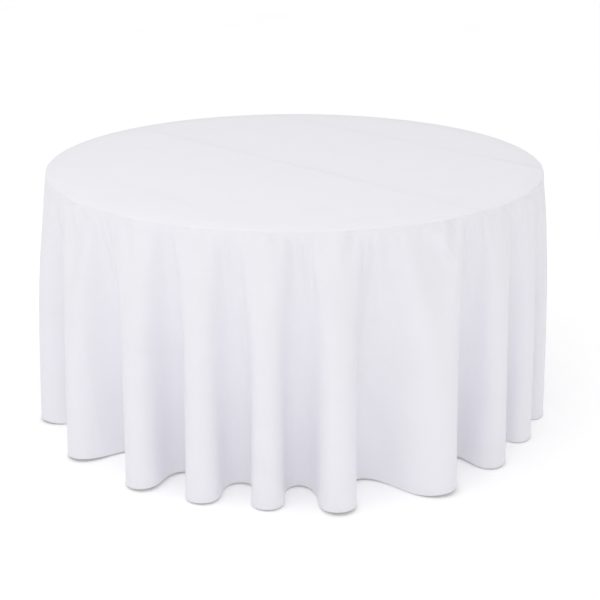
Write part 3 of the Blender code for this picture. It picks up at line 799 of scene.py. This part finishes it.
# ---- Table: top ----
def board_piece(finish):
    """The plywood disc, with the kerf for the moulding's tongue."""
    low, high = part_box("table_top")
    middle = (low.z + high.z) / 2
    radius = high.x
    kerf = radius - KERF_DEPTH
    half = KERF_HEIGHT / 2
    face = radius - BOARD_EDGE
    profile = [
        (face, high.z), (radius, high.z - BOARD_EDGE), (radius, middle + half), (kerf, middle + half),
        (kerf, middle - half), (radius, middle - half), (radius, low.z + BOARD_EDGE), (face, low.z),
    ]
    return show(lathe("board", profile, RIM_STEPS), "table_top", finish)


def moulding_piece(finish):
    """The T-moulding: a band with rounded edges and a slightly crowned face, and its tongue."""
    low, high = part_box("edge_moulding")
    inner = high.x - MOULDING_WIDTH
    middle = (low.z + high.z) / 2
    half = (high.z - low.z) / 2
    bend = MOULDING_ROUNDING
    tip = inner - MOULDING_TONGUE
    root_half, tip_half = MOULDING_TONGUE_HALF
    outer = high.x - MOULDING_CROWN
    profile = [(inner, middle + half)]
    profile += arc((outer - bend, middle + half - bend), bend, 90, -90, MOULDING_STEPS)
    profile += [(high.x, middle + half / 3), (high.x, middle - half / 3)]
    profile += arc((outer - bend, middle - half + bend), bend, 0, -90, MOULDING_STEPS)
    profile += [(inner, middle - half), (inner, middle - root_half), (tip, middle - tip_half)]
    profile += [(tip, middle + tip_half), (inner, middle + root_half)]
    return show(lathe("moulding", profile, RIM_STEPS, ring=True), "edge_moulding", finish)


def runner_pieces(finish):
    for node in ("runner_front", "runner_back"):
        low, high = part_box(node)
        show(softened_box(node, low, high, RUNNER_EDGE), node, finish)


# ---- Table: fasteners ----
def dome(radius, height, crown, steps):
    """The profile of a domed head from the middle of its crown to its seat."""
    quarter = arc((0, 0), 1, 90, -90, steps)
    return [(max(crown, x) * radius, z * height) for x, z in quarter]


def screw_mesh(length):
    """A pan-head wood screw with a cross recess, along -Z from its head's seat."""
    profile = dome(SCREW_HEAD_RADIUS, SCREW_HEAD_HEIGHT, SCREW_CROWN, SCREW_HEAD_STEPS)
    profile += [(SCREW_HEAD_RADIUS, -SCREW_HEAD_EDGE), (SCREW_RADIUS, -SCREW_SHOULDER)]
    core = SCREW_RADIUS * SCREW_CORE
    for turn in range(int((length - SCREW_NECK - SCREW_POINT) / SCREW_PITCH)):
        z = -SCREW_NECK - turn * SCREW_PITCH
        profile += [(SCREW_RADIUS, z), (core, z - SCREW_PITCH * SCREW_ROOT_PLACE)]
    profile += [(core, -length + SCREW_POINT), (SCREW_TIP, -length)]
    item = lathe("screw", profile, FASTENER_STEPS)
    for turn in (0, math.pi / 2):
        bpy.ops.mesh.primitive_cube_add(size=1)
        cutter = bpy.context.active_object
        cutter.data.transform(Matrix.Diagonal((*SCREW_RECESS, 1)))
        cutter.matrix_world = Matrix.Translation((0, 0, SCREW_HEAD_HEIGHT)) @ Matrix.Rotation(turn, 4, "Z")
        cut = item.modifiers.new("Recess", "BOOLEAN")
        cut.operation = "DIFFERENCE"
        cut.object = cutter
        cutter.hide_render = True
    cutters = [modifier.object for modifier in item.modifiers]
    bpy.context.view_layer.update()
    item = as_mesh(item, "screw")
    for cutter in cutters:
        bpy.data.objects.remove(cutter, do_unlink=True)
    item.data.set_sharp_from_angle(angle=SHARP_ANGLE)
    mesh = item.data
    bpy.data.objects.remove(item, do_unlink=True)
    return mesh


def screw_pieces(finish):
    """Each screw where its CAD node lies, turned to its own angle."""
    meshes = {}
    nodes = sorted(node for node in frame["nodes"] if "screw" in node)
    for number, node in enumerate(nodes):
        low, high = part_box(node)
        size = high - low
        upright = size.z > size.y
        length = round(max(size) - SCREW_HEAD_HEIGHT, 4)
        if length not in meshes:
            meshes[length] = screw_mesh(length)
        middle = (low + high) / 2
        if upright:
            seat = Vector((middle.x, middle.y, low.z + SCREW_HEAD_HEIGHT))
            turn = Matrix.Rotation(math.pi, 4, "X")
        else:
            out = 1 if middle.y > 0 else -1
            inner = low.y if out > 0 else high.y
            seat = Vector((middle.x, inner + out * SCREW_HEAD_HEIGHT, middle.z))
            turn = Matrix.Rotation(out * math.pi / 2, 4, "X")
        item = new_object(node, meshes[length])
        twist = Matrix.Rotation(SCREW_TWIST * number, 4, "Z")
        item.matrix_world = Matrix.Translation(seat) @ turn @ twist
        show(item, node, finish)


def rivet_pieces(finish):
    """Domed rivets along Y; the head is on the side where the CAD node is widest."""
    for node in sorted(node for node in frame["nodes"] if "rivet" in node):
        low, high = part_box(node)
        middle = (low + high) / 2
        points = [vertex.co for vertex in frame["nodes"][node].data.vertices]
        reach = RIVET_HEAD_RADIUS * RIVET_HEAD_SHARE
        wide = [p.y for p in points if math.hypot(p.x - middle.x, p.z - middle.z) > reach]
        side = 1 if sum(wide) / len(wide) > middle.y else -1
        length = high.y - low.y - RIVET_HEAD_HEIGHT
        profile = dome(RIVET_HEAD_RADIUS, RIVET_HEAD_HEIGHT, RIVET_CROWN, RIVET_HEAD_STEPS)
        profile += [(RIVET_RADIUS, 0), (RIVET_RADIUS, RIVET_EDGE - length)]
        profile.append((RIVET_RADIUS - RIVET_EDGE, -length))
        item = lathe(node, profile, FASTENER_STEPS)
        seat = Vector((middle.x, (high.y if side > 0 else low.y) - side * RIVET_HEAD_HEIGHT, middle.z))
        item.matrix_world = Matrix.Translation(seat) @ Matrix.Rotation(-side * math.pi / 2, 4, "X")
        show(item, node, finish)


# ---- Table: leg frames and braces ----
class Side:
    """One leg frame's own directions: +X outwards from its pivot, +Z up."""

    def __init__(self, name):
        self.name = name
        pivot = Vector(JOINTS[f"{name}_leg_fold"]["pos_m"])
        turn = 0 if pivot.x > 0 else math.pi
        self.place = Matrix.Translation(pivot) @ Matrix.Rotation(turn, 4, "Z")
        foot = self.local(MOUNTS[f"{name}_front_foot"]["pos_m"])
        self.half_spread = abs(foot.y)
        self.splay = math.atan2(foot.x, -foot.z)
        self.reach = math.hypot(foot.x, foot.z)
        self.along = Vector((math.sin(self.splay), 0, -math.cos(self.splay)))
        self.top_spot = self.local(JOINTS[f"{name}_brace_top"]["pos_m"])
        self.tab_spot = self.local(JOINTS[f"{name}_brace_tab_pivot"]["pos_m"])
        self.knuckle = self.local(self.middle("knuckle_rivet_upper"))
        self.stretcher = self.local(self.middle("stretcher"))
        self.stretcher_radius = self.size("stretcher").z / 2

    def size(self, part):
        low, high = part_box(f"{self.name}_{part}")
        return high - low

    def middle(self, part):
        low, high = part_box(f"{self.name}_{part}")
        return (low + high) / 2

    def local(self, spot):
        return self.place.inverted() @ Vector(spot)

    def plate_y(self, part):
        return self.local(self.middle(part)).y

    def show(self, item, part, finish):
        """Move a piece made in the frame's own directions to its place, and finish it."""
        item.matrix_world = self.place @ item.matrix_world
        return show(item, f"{self.name}_{part}", finish)


def upright_plate(name, outlines, thickness, spot, slope=0.0):
    """A plate stood up in the XZ plane, its outline's X axis sloping up by the given angle."""
    item = plate(name, outlines, thickness)
    turn = Matrix.Rotation(math.pi / 2, 4, "X") @ Matrix.Rotation(slope, 4, "Z")
    item.matrix_world = Matrix.Translation(spot) @ turn
    return item


def leg_frame_pieces(side, paint, rubber):
    """Pivot tube, legs and stretcher, coped and welded to each other, and the rubber feet."""
    half = side.size("pivot_tube").y / 2
    tube = coped_tube("pivot_tube", (0, -half, 0), (0, half, 0), LEG_TUBE_RADIUS, (None, None))
    side.show(tube, "pivot_tube", paint)
    across = Vector((0, 1, 0))
    pivot_cope = (Vector((0, 0, 0)), across, LEG_TUBE_RADIUS)
    turned = -1 if side.place[0][0] < 0 else 1
    for label, sign in (("front", -turned), ("back", turned)):
        y = Vector((0, sign * side.half_spread, 0))
        start = y + side.along * LEG_TUBE_RADIUS
        end = y + side.along * (side.reach - FOOT_HEIGHT)
        leg = coped_tube("leg", start, end, LEG_TUBE_RADIUS, (pivot_cope, None))
        side.show(leg, f"leg_{label}", paint)
        side.show(foot_shape(side, y), f"foot_{label}", rubber)
    reach = side.half_spread - LEG_TUBE_RADIUS
    middle = Vector((side.stretcher.x, 0, side.stretcher.z))
    copes = [(Vector((0, y * side.half_spread, 0)), side.along, LEG_TUBE_RADIUS) for y in (-1, 1)]
    ends = (middle - across * reach, middle + across * reach)
    bar = coped_tube("stretcher", *ends, side.stretcher_radius, copes)
    side.show(bar, "stretcher", paint)


def foot_shape(side, y):
    """A ribbed rubber cap over the leg's end, cut level at the floor."""
    groove = FOOT_RADIUS - FOOT_GROOVE
    profile = [(LEG_TUBE_RADIUS + TUBE_CLEARANCE, FOOT_HEIGHT), (FOOT_RADIUS - FOOT_LIP, FOOT_HEIGHT)]
    for rib in range(FOOT_RIBS):
        z = FOOT_HEIGHT - FOOT_RIB_START - rib * FOOT_RIB_STEP
        profile += [(FOOT_RADIUS, z), (FOOT_RADIUS, z - FOOT_RIB_HEIGHT), (groove, z - FOOT_GROOVE_DROP)]
    profile += [(FOOT_RADIUS, FOOT_RIB_END), (FOOT_RADIUS, -FOOT_RADIUS)]
    item = lathe("foot", profile, TUBE_STEPS)
    lie = Matrix.Translation(y + side.along * side.reach) @ Matrix.Rotation(-side.splay, 4, "Y")
    item.data.transform(lie)
    shape = bmesh.new()
    shape.from_mesh(item.data)
    floor = Vector((0, 0, -side.place.translation.z))
    whole = shape.verts[:] + shape.edges[:] + shape.faces[:]
    cut = bmesh.ops.bisect_plane(shape, geom=whole, plane_co=floor, plane_no=(0, 0, -1), clear_outer=True)
    rim = [piece for piece in cut["geom_cut"] if isinstance(piece, bmesh.types.BMEdge)]
    bmesh.ops.contextual_create(shape, geom=rim)
    bmesh.ops.recalc_face_normals(shape, faces=shape.faces)
    shape.to_mesh(item.data)
    shape.free()
    return crisp(item)


def pivot_bracket_pieces(side, paint):
    """Plates on the runners' inner faces that the pivot tube turns in."""
    for label in ("front", "back"):
        node = f"{side.name}_bracket_{label}"
        low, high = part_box(node)
        pivot = side.place.translation
        half = (high.x - low.x) / 2
        bottom, top = low.z - pivot.z, high.z - pivot.z
        corner = -bottom
        outline = arc((half - corner, 0), corner, 0, -90, PIVOT_BRACKET_STEPS)
        outline += arc((corner - half, 0), corner, -90, -90, PIVOT_BRACKET_STEPS)
        upper = [(-half, 0), (-half, top), (half, top), (half, 0)]
        outline += rounded(upper, PIVOT_BRACKET_CORNER, closed=False)[1:-1]
        hole = round_hole(0, LEG_TUBE_RADIUS + TUBE_CLEARANCE, TUBE_STEPS)
        spot = Vector((pivot.x, (low.y + high.y) / 2, pivot.z))
        item = upright_plate(node, [outline, hole], high.y - low.y, spot)
        show(item, node, paint)


def link_outline(length, width):
    far_end = arc((length, 0), width, -90, 180, LINK_END_STEPS)
    return arc((0, 0), width, 90, 180, LINK_END_STEPS) + far_end


def rivet_hole(x=0.0):
    return round_hole(x, RIVET_RADIUS + RIVET_CLEARANCE, RIVET_HOLE_STEPS)


def brace_pieces(side, paint, zinc):
    """The two links, the tab welded to the stretcher, and the angle bracket under the top."""
    ends = {"brace_upper": side.top_spot, "brace_lower": side.tab_spot}
    for part, spot in ends.items():
        run = side.knuckle - spot
        length = math.hypot(run.x, run.z)
        outlines = [link_outline(length, LINK_HALF_WIDTH), rivet_hole(), rivet_hole(length)]
        place = Vector((spot.x, side.plate_y(part), spot.z))
        item = upright_plate(part, outlines, LINK_THICKNESS, place, math.atan2(run.z, run.x))
        side.show(item, part, zinc)
    side.show(brace_tab_shape(side), "brace_tab", paint)
    side.show(brace_bracket_shape(side), "brace_bracket", paint)


def brace_tab_shape(side):
    """A lug from the lower rivet to the stretcher, with a weld bead on each side of its foot."""
    run = side.stretcher - side.tab_spot
    radius = side.stretcher_radius
    length = math.hypot(run.x, run.z) - radius
    outline = arc((0, 0), LINK_HALF_WIDTH, 90, 180, LINK_END_STEPS)
    outline += [(length, -LINK_HALF_WIDTH), (length, LINK_HALF_WIDTH)]
    place = Vector((side.tab_spot.x, side.plate_y("brace_tab"), side.tab_spot.z))
    slope = math.atan2(run.z, run.x)
    item = upright_plate("brace_tab", [outline, rivet_hole()], LINK_THICKNESS, place, slope)
    along = Vector((run.x, 0, run.z)).normalized()
    wide = Vector((along.z, 0, -along.x))
    foot = place + along * length
    beads = []
    for face in (-1, 1):
        shift = Vector((0, face * LINK_THICKNESS / 2, 0))
        path = []
        for share in np.linspace(-TAB_BEAD_SHARE, TAB_BEAD_SHARE, TAB_BEAD_STEPS):
            dip = radius - math.sqrt(radius ** 2 - (LINK_HALF_WIDTH * share) ** 2)
            path.append(foot + shift + wide * LINK_HALF_WIDTH * share + along * dip)
        beads.append(weld_bead("tab_bead", path, False))
    return join(item, *beads)


def brace_bracket_shape(side):
    """A flange under the top and a plate down to the rivet, folded from one sheet."""
    low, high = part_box(f"{side.name}_brace_bracket")
    x, y = side.top_spot.x, side.plate_y("brace_bracket")
    half = (high.x - low.x) / 2
    depth = (high.y - low.y) / 2
    rise = high.z - side.place.translation.z - LINK_THICKNESS / 2
    bottom = low.z - side.place.translation.z
    corners = [(-half, -depth), (half, -depth), (half, depth), (-half, depth)]
    item = plate("flange", [rounded(corners, FLANGE_CORNER)], LINK_THICKNESS)
    item.matrix_world = Matrix.Translation((x, y, rise))
    width, steps = BRACE_BRACKET_HALF_WIDTH, BRACE_BRACKET_STEPS
    outline = [(width, rise), (-width, rise), *arc((0, bottom + width), width, 180, 180, steps)]
    spot = Vector((x, y + depth - LINK_THICKNESS / 2, 0))
    web = upright_plate("web", [outline, rivet_hole()], LINK_THICKNESS, spot)
    bpy.context.view_layer.update()
    return join(item, web)


# ---- Materials ----
def set_stops(ramp, stops):
    """Give a colour ramp its stops, each a position and a colour."""
    while len(ramp.elements) < len(stops):
        ramp.elements.new(0.5)
    for element, (position, colour) in zip(ramp.elements, stops):
        element.position = position
        element.color = (*colour, 1)


def feed(tree, socket, source):
    """Set a node's socket to a number, a vector or another node's output."""
    if isinstance(source, bpy.types.NodeSocket):
        tree.links.new(source, socket)
    else:
        socket.default_value = source


def new_node(tree, kind, **inputs):
    """A new shader node, with its named sockets set or fed."""
    node = tree.nodes.new("ShaderNode" + kind)
    for name, source in inputs.items():
        feed(tree, node.inputs[name.replace("_", " ")], source)
    return node


class Finish:
    """A material under construction: a Principled shader, and short ways to add the nodes that feed it."""

    def __init__(self, name, colour, roughness, metallic=0.0):
        self.made = bpy.data.materials.new(name)
        self.made.use_nodes = True
        self.tree = self.made.node_tree
        self.shader = self.tree.nodes["Principled BSDF"]
        self.set(Base_Color=(*colour, 1), Roughness=roughness, Metallic=metallic)

    def set(self, **values):
        for name, value in values.items():
            feed(self.tree, self.shader.inputs[name.replace("_", " ")], value)

    def math(self, operation, *sources):
        node = new_node(self.tree, "Math")
        node.operation = operation
        for socket, source in zip(node.inputs, sources):
            feed(self.tree, socket, source)
        return node.outputs[0]

    def flat_place(self):
        """Where a point lies on the flat cloth."""
        node = new_node(self.tree, "Attribute")
        node.attribute_name = "flat"
        return node.outputs["Vector"]

    def object_place(self):
        return new_node(self.tree, "TexCoord").outputs["Object"]

    def scaled(self, place, scale, turn=0.0):
        return new_node(self.tree, "Mapping", Vector=place, Scale=scale, Rotation=(0, 0, turn)).outputs[0]

    def parts(self, place):
        return new_node(self.tree, "SeparateXYZ", Vector=place).outputs

    def noise(self, place, scale, detail=3.0, roughness=0.5):
        sockets = {"Vector": place, "Scale": scale, "Detail": detail, "Roughness": roughness}
        return new_node(self.tree, "TexNoise", **sockets).outputs["Fac"]

    def spread(self, value, low, high):
        """Map the middle range of a noise to the range low to high."""
        sockets = {"Value": value, "From Min": 0.3, "From Max": 0.7, "To Min": low, "To Max": high}
        return new_node(self.tree, "MapRange", **sockets).outputs[0]

    def colours(self, value, *stops):
        ramp = new_node(self.tree, "ValToRGB", Fac=value)
        set_stops(ramp.color_ramp, stops)
        self.set(Base_Color=ramp.outputs[0])

    def rough(self, value, low, high):
        self.set(Roughness=self.spread(value, low, high))

    def relief(self, height):
        """Bump from a height in metres."""
        self.set(Normal=new_node(self.tree, "Bump", Strength=1, Distance=1, Height=height).outputs[0])

    def total(self, *terms):
        """The sum of (value, factor) terms."""
        result = self.math("MULTIPLY", *terms[0])
        for term in terms[1:]:
            result = self.math("ADD", result, self.math("MULTIPLY", *term))
        return result


def press_crease(finish, across, spacing, offset, width):
    """How near a point is to a family of parallel fold lines, as 1 on a line and 0 past its width."""
    moved = finish.math("ADD", across, offset)
    distance = finish.math("PINGPONG", moved, spacing / 2)
    share = finish.math("DIVIDE", distance, width)
    return finish.math("DIVIDE", 1.0, finish.math("ADD", 1.0, finish.math("POWER", share, 2.0)))


def cloth_finish(name, colour):
    """White polyester: a plain weave, uneven threads, faint mottling and the creases it was folded along, with
    painted shade darkening the main creases.
    """
    finish = Finish(name, colour, 0.78)
    finish.set(Sheen_Weight=0.12, Sheen_Roughness=0.45, Specular_IOR_Level=0.3)
    place = finish.flat_place()
    x, y, _ = finish.parts(place)
    thread = 2 * math.pi / THREAD_PAIR
    warp = finish.math("SINE", finish.math("MULTIPLY", x, thread))
    weft = finish.math("SINE", finish.math("MULTIPLY", y, thread))
    weave = finish.math("MULTIPLY", warp, weft)
    along, across, level = SLUB_SCALE
    slubs_x = finish.noise(finish.scaled(place, (along, across, level)), 1.0)
    slubs_y = finish.noise(finish.scaled(place, (across, along, level)), 1.0)
    slubs = finish.math("ADD", slubs_x, slubs_y)
    turned = finish.parts(finish.scaled(place, (1, 1, 1), CREASE_TURN))
    main = press_crease(finish, turned[1], CREASE_SPACING, CREASE_OFFSET, MAIN_CREASE_WIDTH)
    cross = press_crease(finish, turned[0], CREASE_SPACING, CREASE_OFFSET, CROSS_CREASE_WIDTH)
    fade = finish.spread(finish.noise(place, CREASE_FADE_SCALE, 2.0), 0.1, 1.0)
    main = finish.math("MULTIPLY", main, fade)
    mottle = finish.noise(place, MOTTLE_SCALE, 4.0)
    wrinkle = finish.noise(place, WRINKLE_SCALE, 3.0, 0.6)
    finish.relief(finish.total(
        (weave, WEAVE_DEPTH), (slubs, SLUB_DEPTH), (main, MAIN_CREASE_DEPTH), (cross, CROSS_CREASE_DEPTH),
        (mottle, MOTTLE_DEPTH), (wrinkle, WRINKLE_DEPTH),
    ))
    tone = finish.total((slubs, SLUB_TONE), (mottle, MOTTLE_TONE))
    # Painted shade: the cloth's colour is darkened along the main creases, where a real crease is shaded by the
    # light
    tone = finish.math("SUBTRACT", tone, finish.math("MULTIPLY", main, CREASE_PAINTED_SHADE))
    darker = tuple(value * DARK_TONE for value in colour)
    finish.colours(tone, (0.35, darker), (0.65, colour))
    return finish.made


def thread_finish():
    """Twisted sewing thread."""
    finish = Finish("sewing_thread", (0.85, 0.85, 0.88), 0.6)
    finish.set(Sheen_Weight=0.2)
    place = finish.object_place()
    finish.relief(finish.total((finish.noise(place, 4000, 2), 0.00004)))
    finish.rough(finish.noise(place, 900), 0.5, 0.7)
    return finish.made


def wood_finish(name, light, dark, roughness, scale):
    """Varnished wood with its grain along X."""
    finish = Finish(name, light, roughness)
    place = finish.object_place()
    broad = finish.noise(finish.scaled(place, (1.2 * scale, 14 * scale, 14 * scale)), 1.0, 5.0, 0.6)
    fine = finish.noise(finish.scaled(place, (12, 420, 420)), 1.0, 3.0, 0.6)
    grain = finish.math("ADD", finish.math("MULTIPLY", broad, 0.7), finish.math("MULTIPLY", fine, 0.3))
    middle = tuple((a + b) / 2 for a, b in zip(light, dark))
    finish.colours(grain, (0.36, dark), (0.5, middle), (0.62, light))
    finish.relief(finish.total((fine, 0.00012), (broad, 0.0002)))
    finish.rough(broad, roughness - 0.08, roughness + 0.1)
    return finish.made


def worn_finish(name, colour, roughness, grain, depth, wear, stops, gloss):
    """A hard material with a fine grain in relief, and wear or dust that shifts its colour and gloss."""
    finish = Finish(name, colour, roughness)
    place = finish.object_place()
    fine = finish.noise(place, *grain)
    patches = finish.noise(place, *wear)
    finish.relief(finish.total((fine, depth)))
    finish.colours(patches, *stops)
    finish.rough(patches, *gloss)
    return finish.made


def vinyl_finish():
    """Extruded dark vinyl with a fine matt grain."""
    stops = ((0.4, (0.035, 0.03, 0.026)), (0.75, (0.07, 0.062, 0.055)))
    return worn_finish("dark_vinyl", stops[0][1], 0.5, (2600, 3), 0.00003, (25, 5), stops, (0.42, 0.6))


def paint_finish():
    """Black powder coat: an orange-peel skin, a little dusty."""
    colour = (0.03, 0.031, 0.034)
    stops = ((0.4, (0.028, 0.029, 0.032)), (0.8, (0.055, 0.056, 0.06)))
    return worn_finish("black_powder_coat", colour, 0.42, (700, 2), 0.0001, (14, 5), stops, (0.34, 0.52))


def rubber_finish():
    """Moulded black rubber, scuffed grey."""
    colour = (0.02, 0.02, 0.02)
    stops = ((0.45, (0.018, 0.018, 0.018)), (0.8, (0.06, 0.058, 0.055)))
    return worn_finish("black_rubber", colour, 0.8, (1500, 4), 0.00006, (60, 6, 0.7), stops, (0.7, 0.92))


def zinc_finish(name, brushed):
    """Zinc plate, brushed along X where it is flat bar."""
    finish = Finish(name, (0.58, 0.6, 0.62), 0.32, 1.0)
    place = finish.object_place()
    marks = finish.noise(finish.scaled(place, (20, 1500, 1500) if brushed else (300, 300, 300)), 1.0, 3)
    bloom = finish.noise(place, 45, 5)
    finish.relief(finish.total((marks, 0.00002)))
    finish.colours(bloom, (0.35, (0.5, 0.51, 0.53)), (0.65, (0.66, 0.67, 0.69)))
    finish.rough(marks, 0.24, 0.42)
    return finish.made


# ---- Stage, light and camera ----
def grey(shade):
    return (shade, shade, shade)


def pale_floor():
    """A plain floor that runs to the horizon."""
    floor = square("floor", STAGE_REACH)
    finish = Finish("pale_floor", grey(0.93), 0.9)
    finish.set(Specular_IOR_Level=0.1)
    finish.colours(finish.noise(finish.object_place(), 0.7), (0.3, grey(0.92)), (0.7, grey(0.94)))
    finish.set(Emission_Color=(1, 1, 1, 1), Emission_Strength=FLOOR_GLOW)
    floor.data.materials.append(finish.made)


def studio_light():
    """Grey light from all round, by the height of its direction, and two soft square lamps."""
    scene = bpy.context.scene
    world = bpy.data.worlds.new("studio")
    world.use_nodes = True
    tree = world.node_tree
    direction = new_node(tree, "TexCoord").outputs["Generated"]
    height = new_node(tree, "SeparateXYZ", Vector=direction).outputs["Z"]
    shade = new_node(tree, "ValToRGB", Fac=height)
    set_stops(shade.color_ramp, [(place, grey(share)) for place, share in STUDIO_SHADES])
    background = tree.nodes["Background"]
    feed(tree, background.inputs["Color"], shade.outputs[0])
    feed(tree, background.inputs["Strength"], STUDIO_LIGHT)
    scene.world = world
    for name, spot, size, energy, aim in LAMPS:
        lamp = bpy.data.lights.new(name, "AREA")
        lamp.size = size
        lamp.energy = energy
        item = new_object(name, lamp)
        item.location = spot
        item.rotation_euler = (Vector(aim) - Vector(spot)).to_track_quat("-Z", "Y").to_euler()
    scene.view_settings.view_transform = "Standard"
    scene.view_settings.look = "None"


def camera():
    item = new_object("camera", bpy.data.cameras.new("camera"))
    item.data.sensor_width = 36
    item.data.lens = CAMERA_LENS
    item.location = CAMERA_PLACE
    item.rotation_euler = (CAMERA_TILT, 0, 0)
    bpy.context.scene.camera = item


def table_pieces():
    """Every piece under the cloth. Each finish is a slot's name and its material."""
    birch = wood_finish("birch_veneer", (0.66, 0.47, 0.27), (0.5, 0.32, 0.16), 0.42, 1.0)
    hardwood = wood_finish("sealed_hardwood", (0.52, 0.34, 0.18), (0.36, 0.21, 0.1), 0.55, 2.0)
    paint = ("powder_coat", paint_finish())
    bar = ("brace_steel", zinc_finish("brushed_zinc", True))
    zinc = ("zinc_fasteners", zinc_finish("bright_zinc", False))
    rubber = ("foot_rubber", rubber_finish())
    board_piece(("plywood", birch))
    moulding_piece(("moulding_vinyl", vinyl_finish()))
    runner_pieces(("runner_wood", hardwood))
    screw_pieces(zinc)
    rivet_pieces(zinc)
    for name in ("right", "left"):
        side = Side(name)
        leg_frame_pieces(side, paint, rubber)
        pivot_bracket_pieces(side, paint)
        brace_pieces(side, paint, bar)


def cloth_pieces():
    rings, flat, unit = pleated_start()
    rings = lift_clear(rings, HEM_CLEARANCE)
    rings = simulate(rings, flat, unit)
    drape = Drape(rings, flat, unit)
    sheet = sheet_piece(drape)
    hem = hem_piece(drape)
    thread = stitching_piece(drape)
    sheet.data.materials.append(cloth_finish("white_polyester", CLOTH_COLOUR))
    hem.data.materials.append(cloth_finish("white_polyester_hem", CLOTH_COLOUR))
    thread.data.materials.append(thread_finish())
    for item, slot_name in ((sheet, "cloth"), (hem, "hem_cloth"), (thread, "hem_cloth")):
        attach(item, "cloth")
    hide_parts("tablecloth")
    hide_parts("hem")


def main():
    pale_floor()
    studio_light()
    camera()
    cloth_pieces()
    table_pieces()
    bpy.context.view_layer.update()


main()
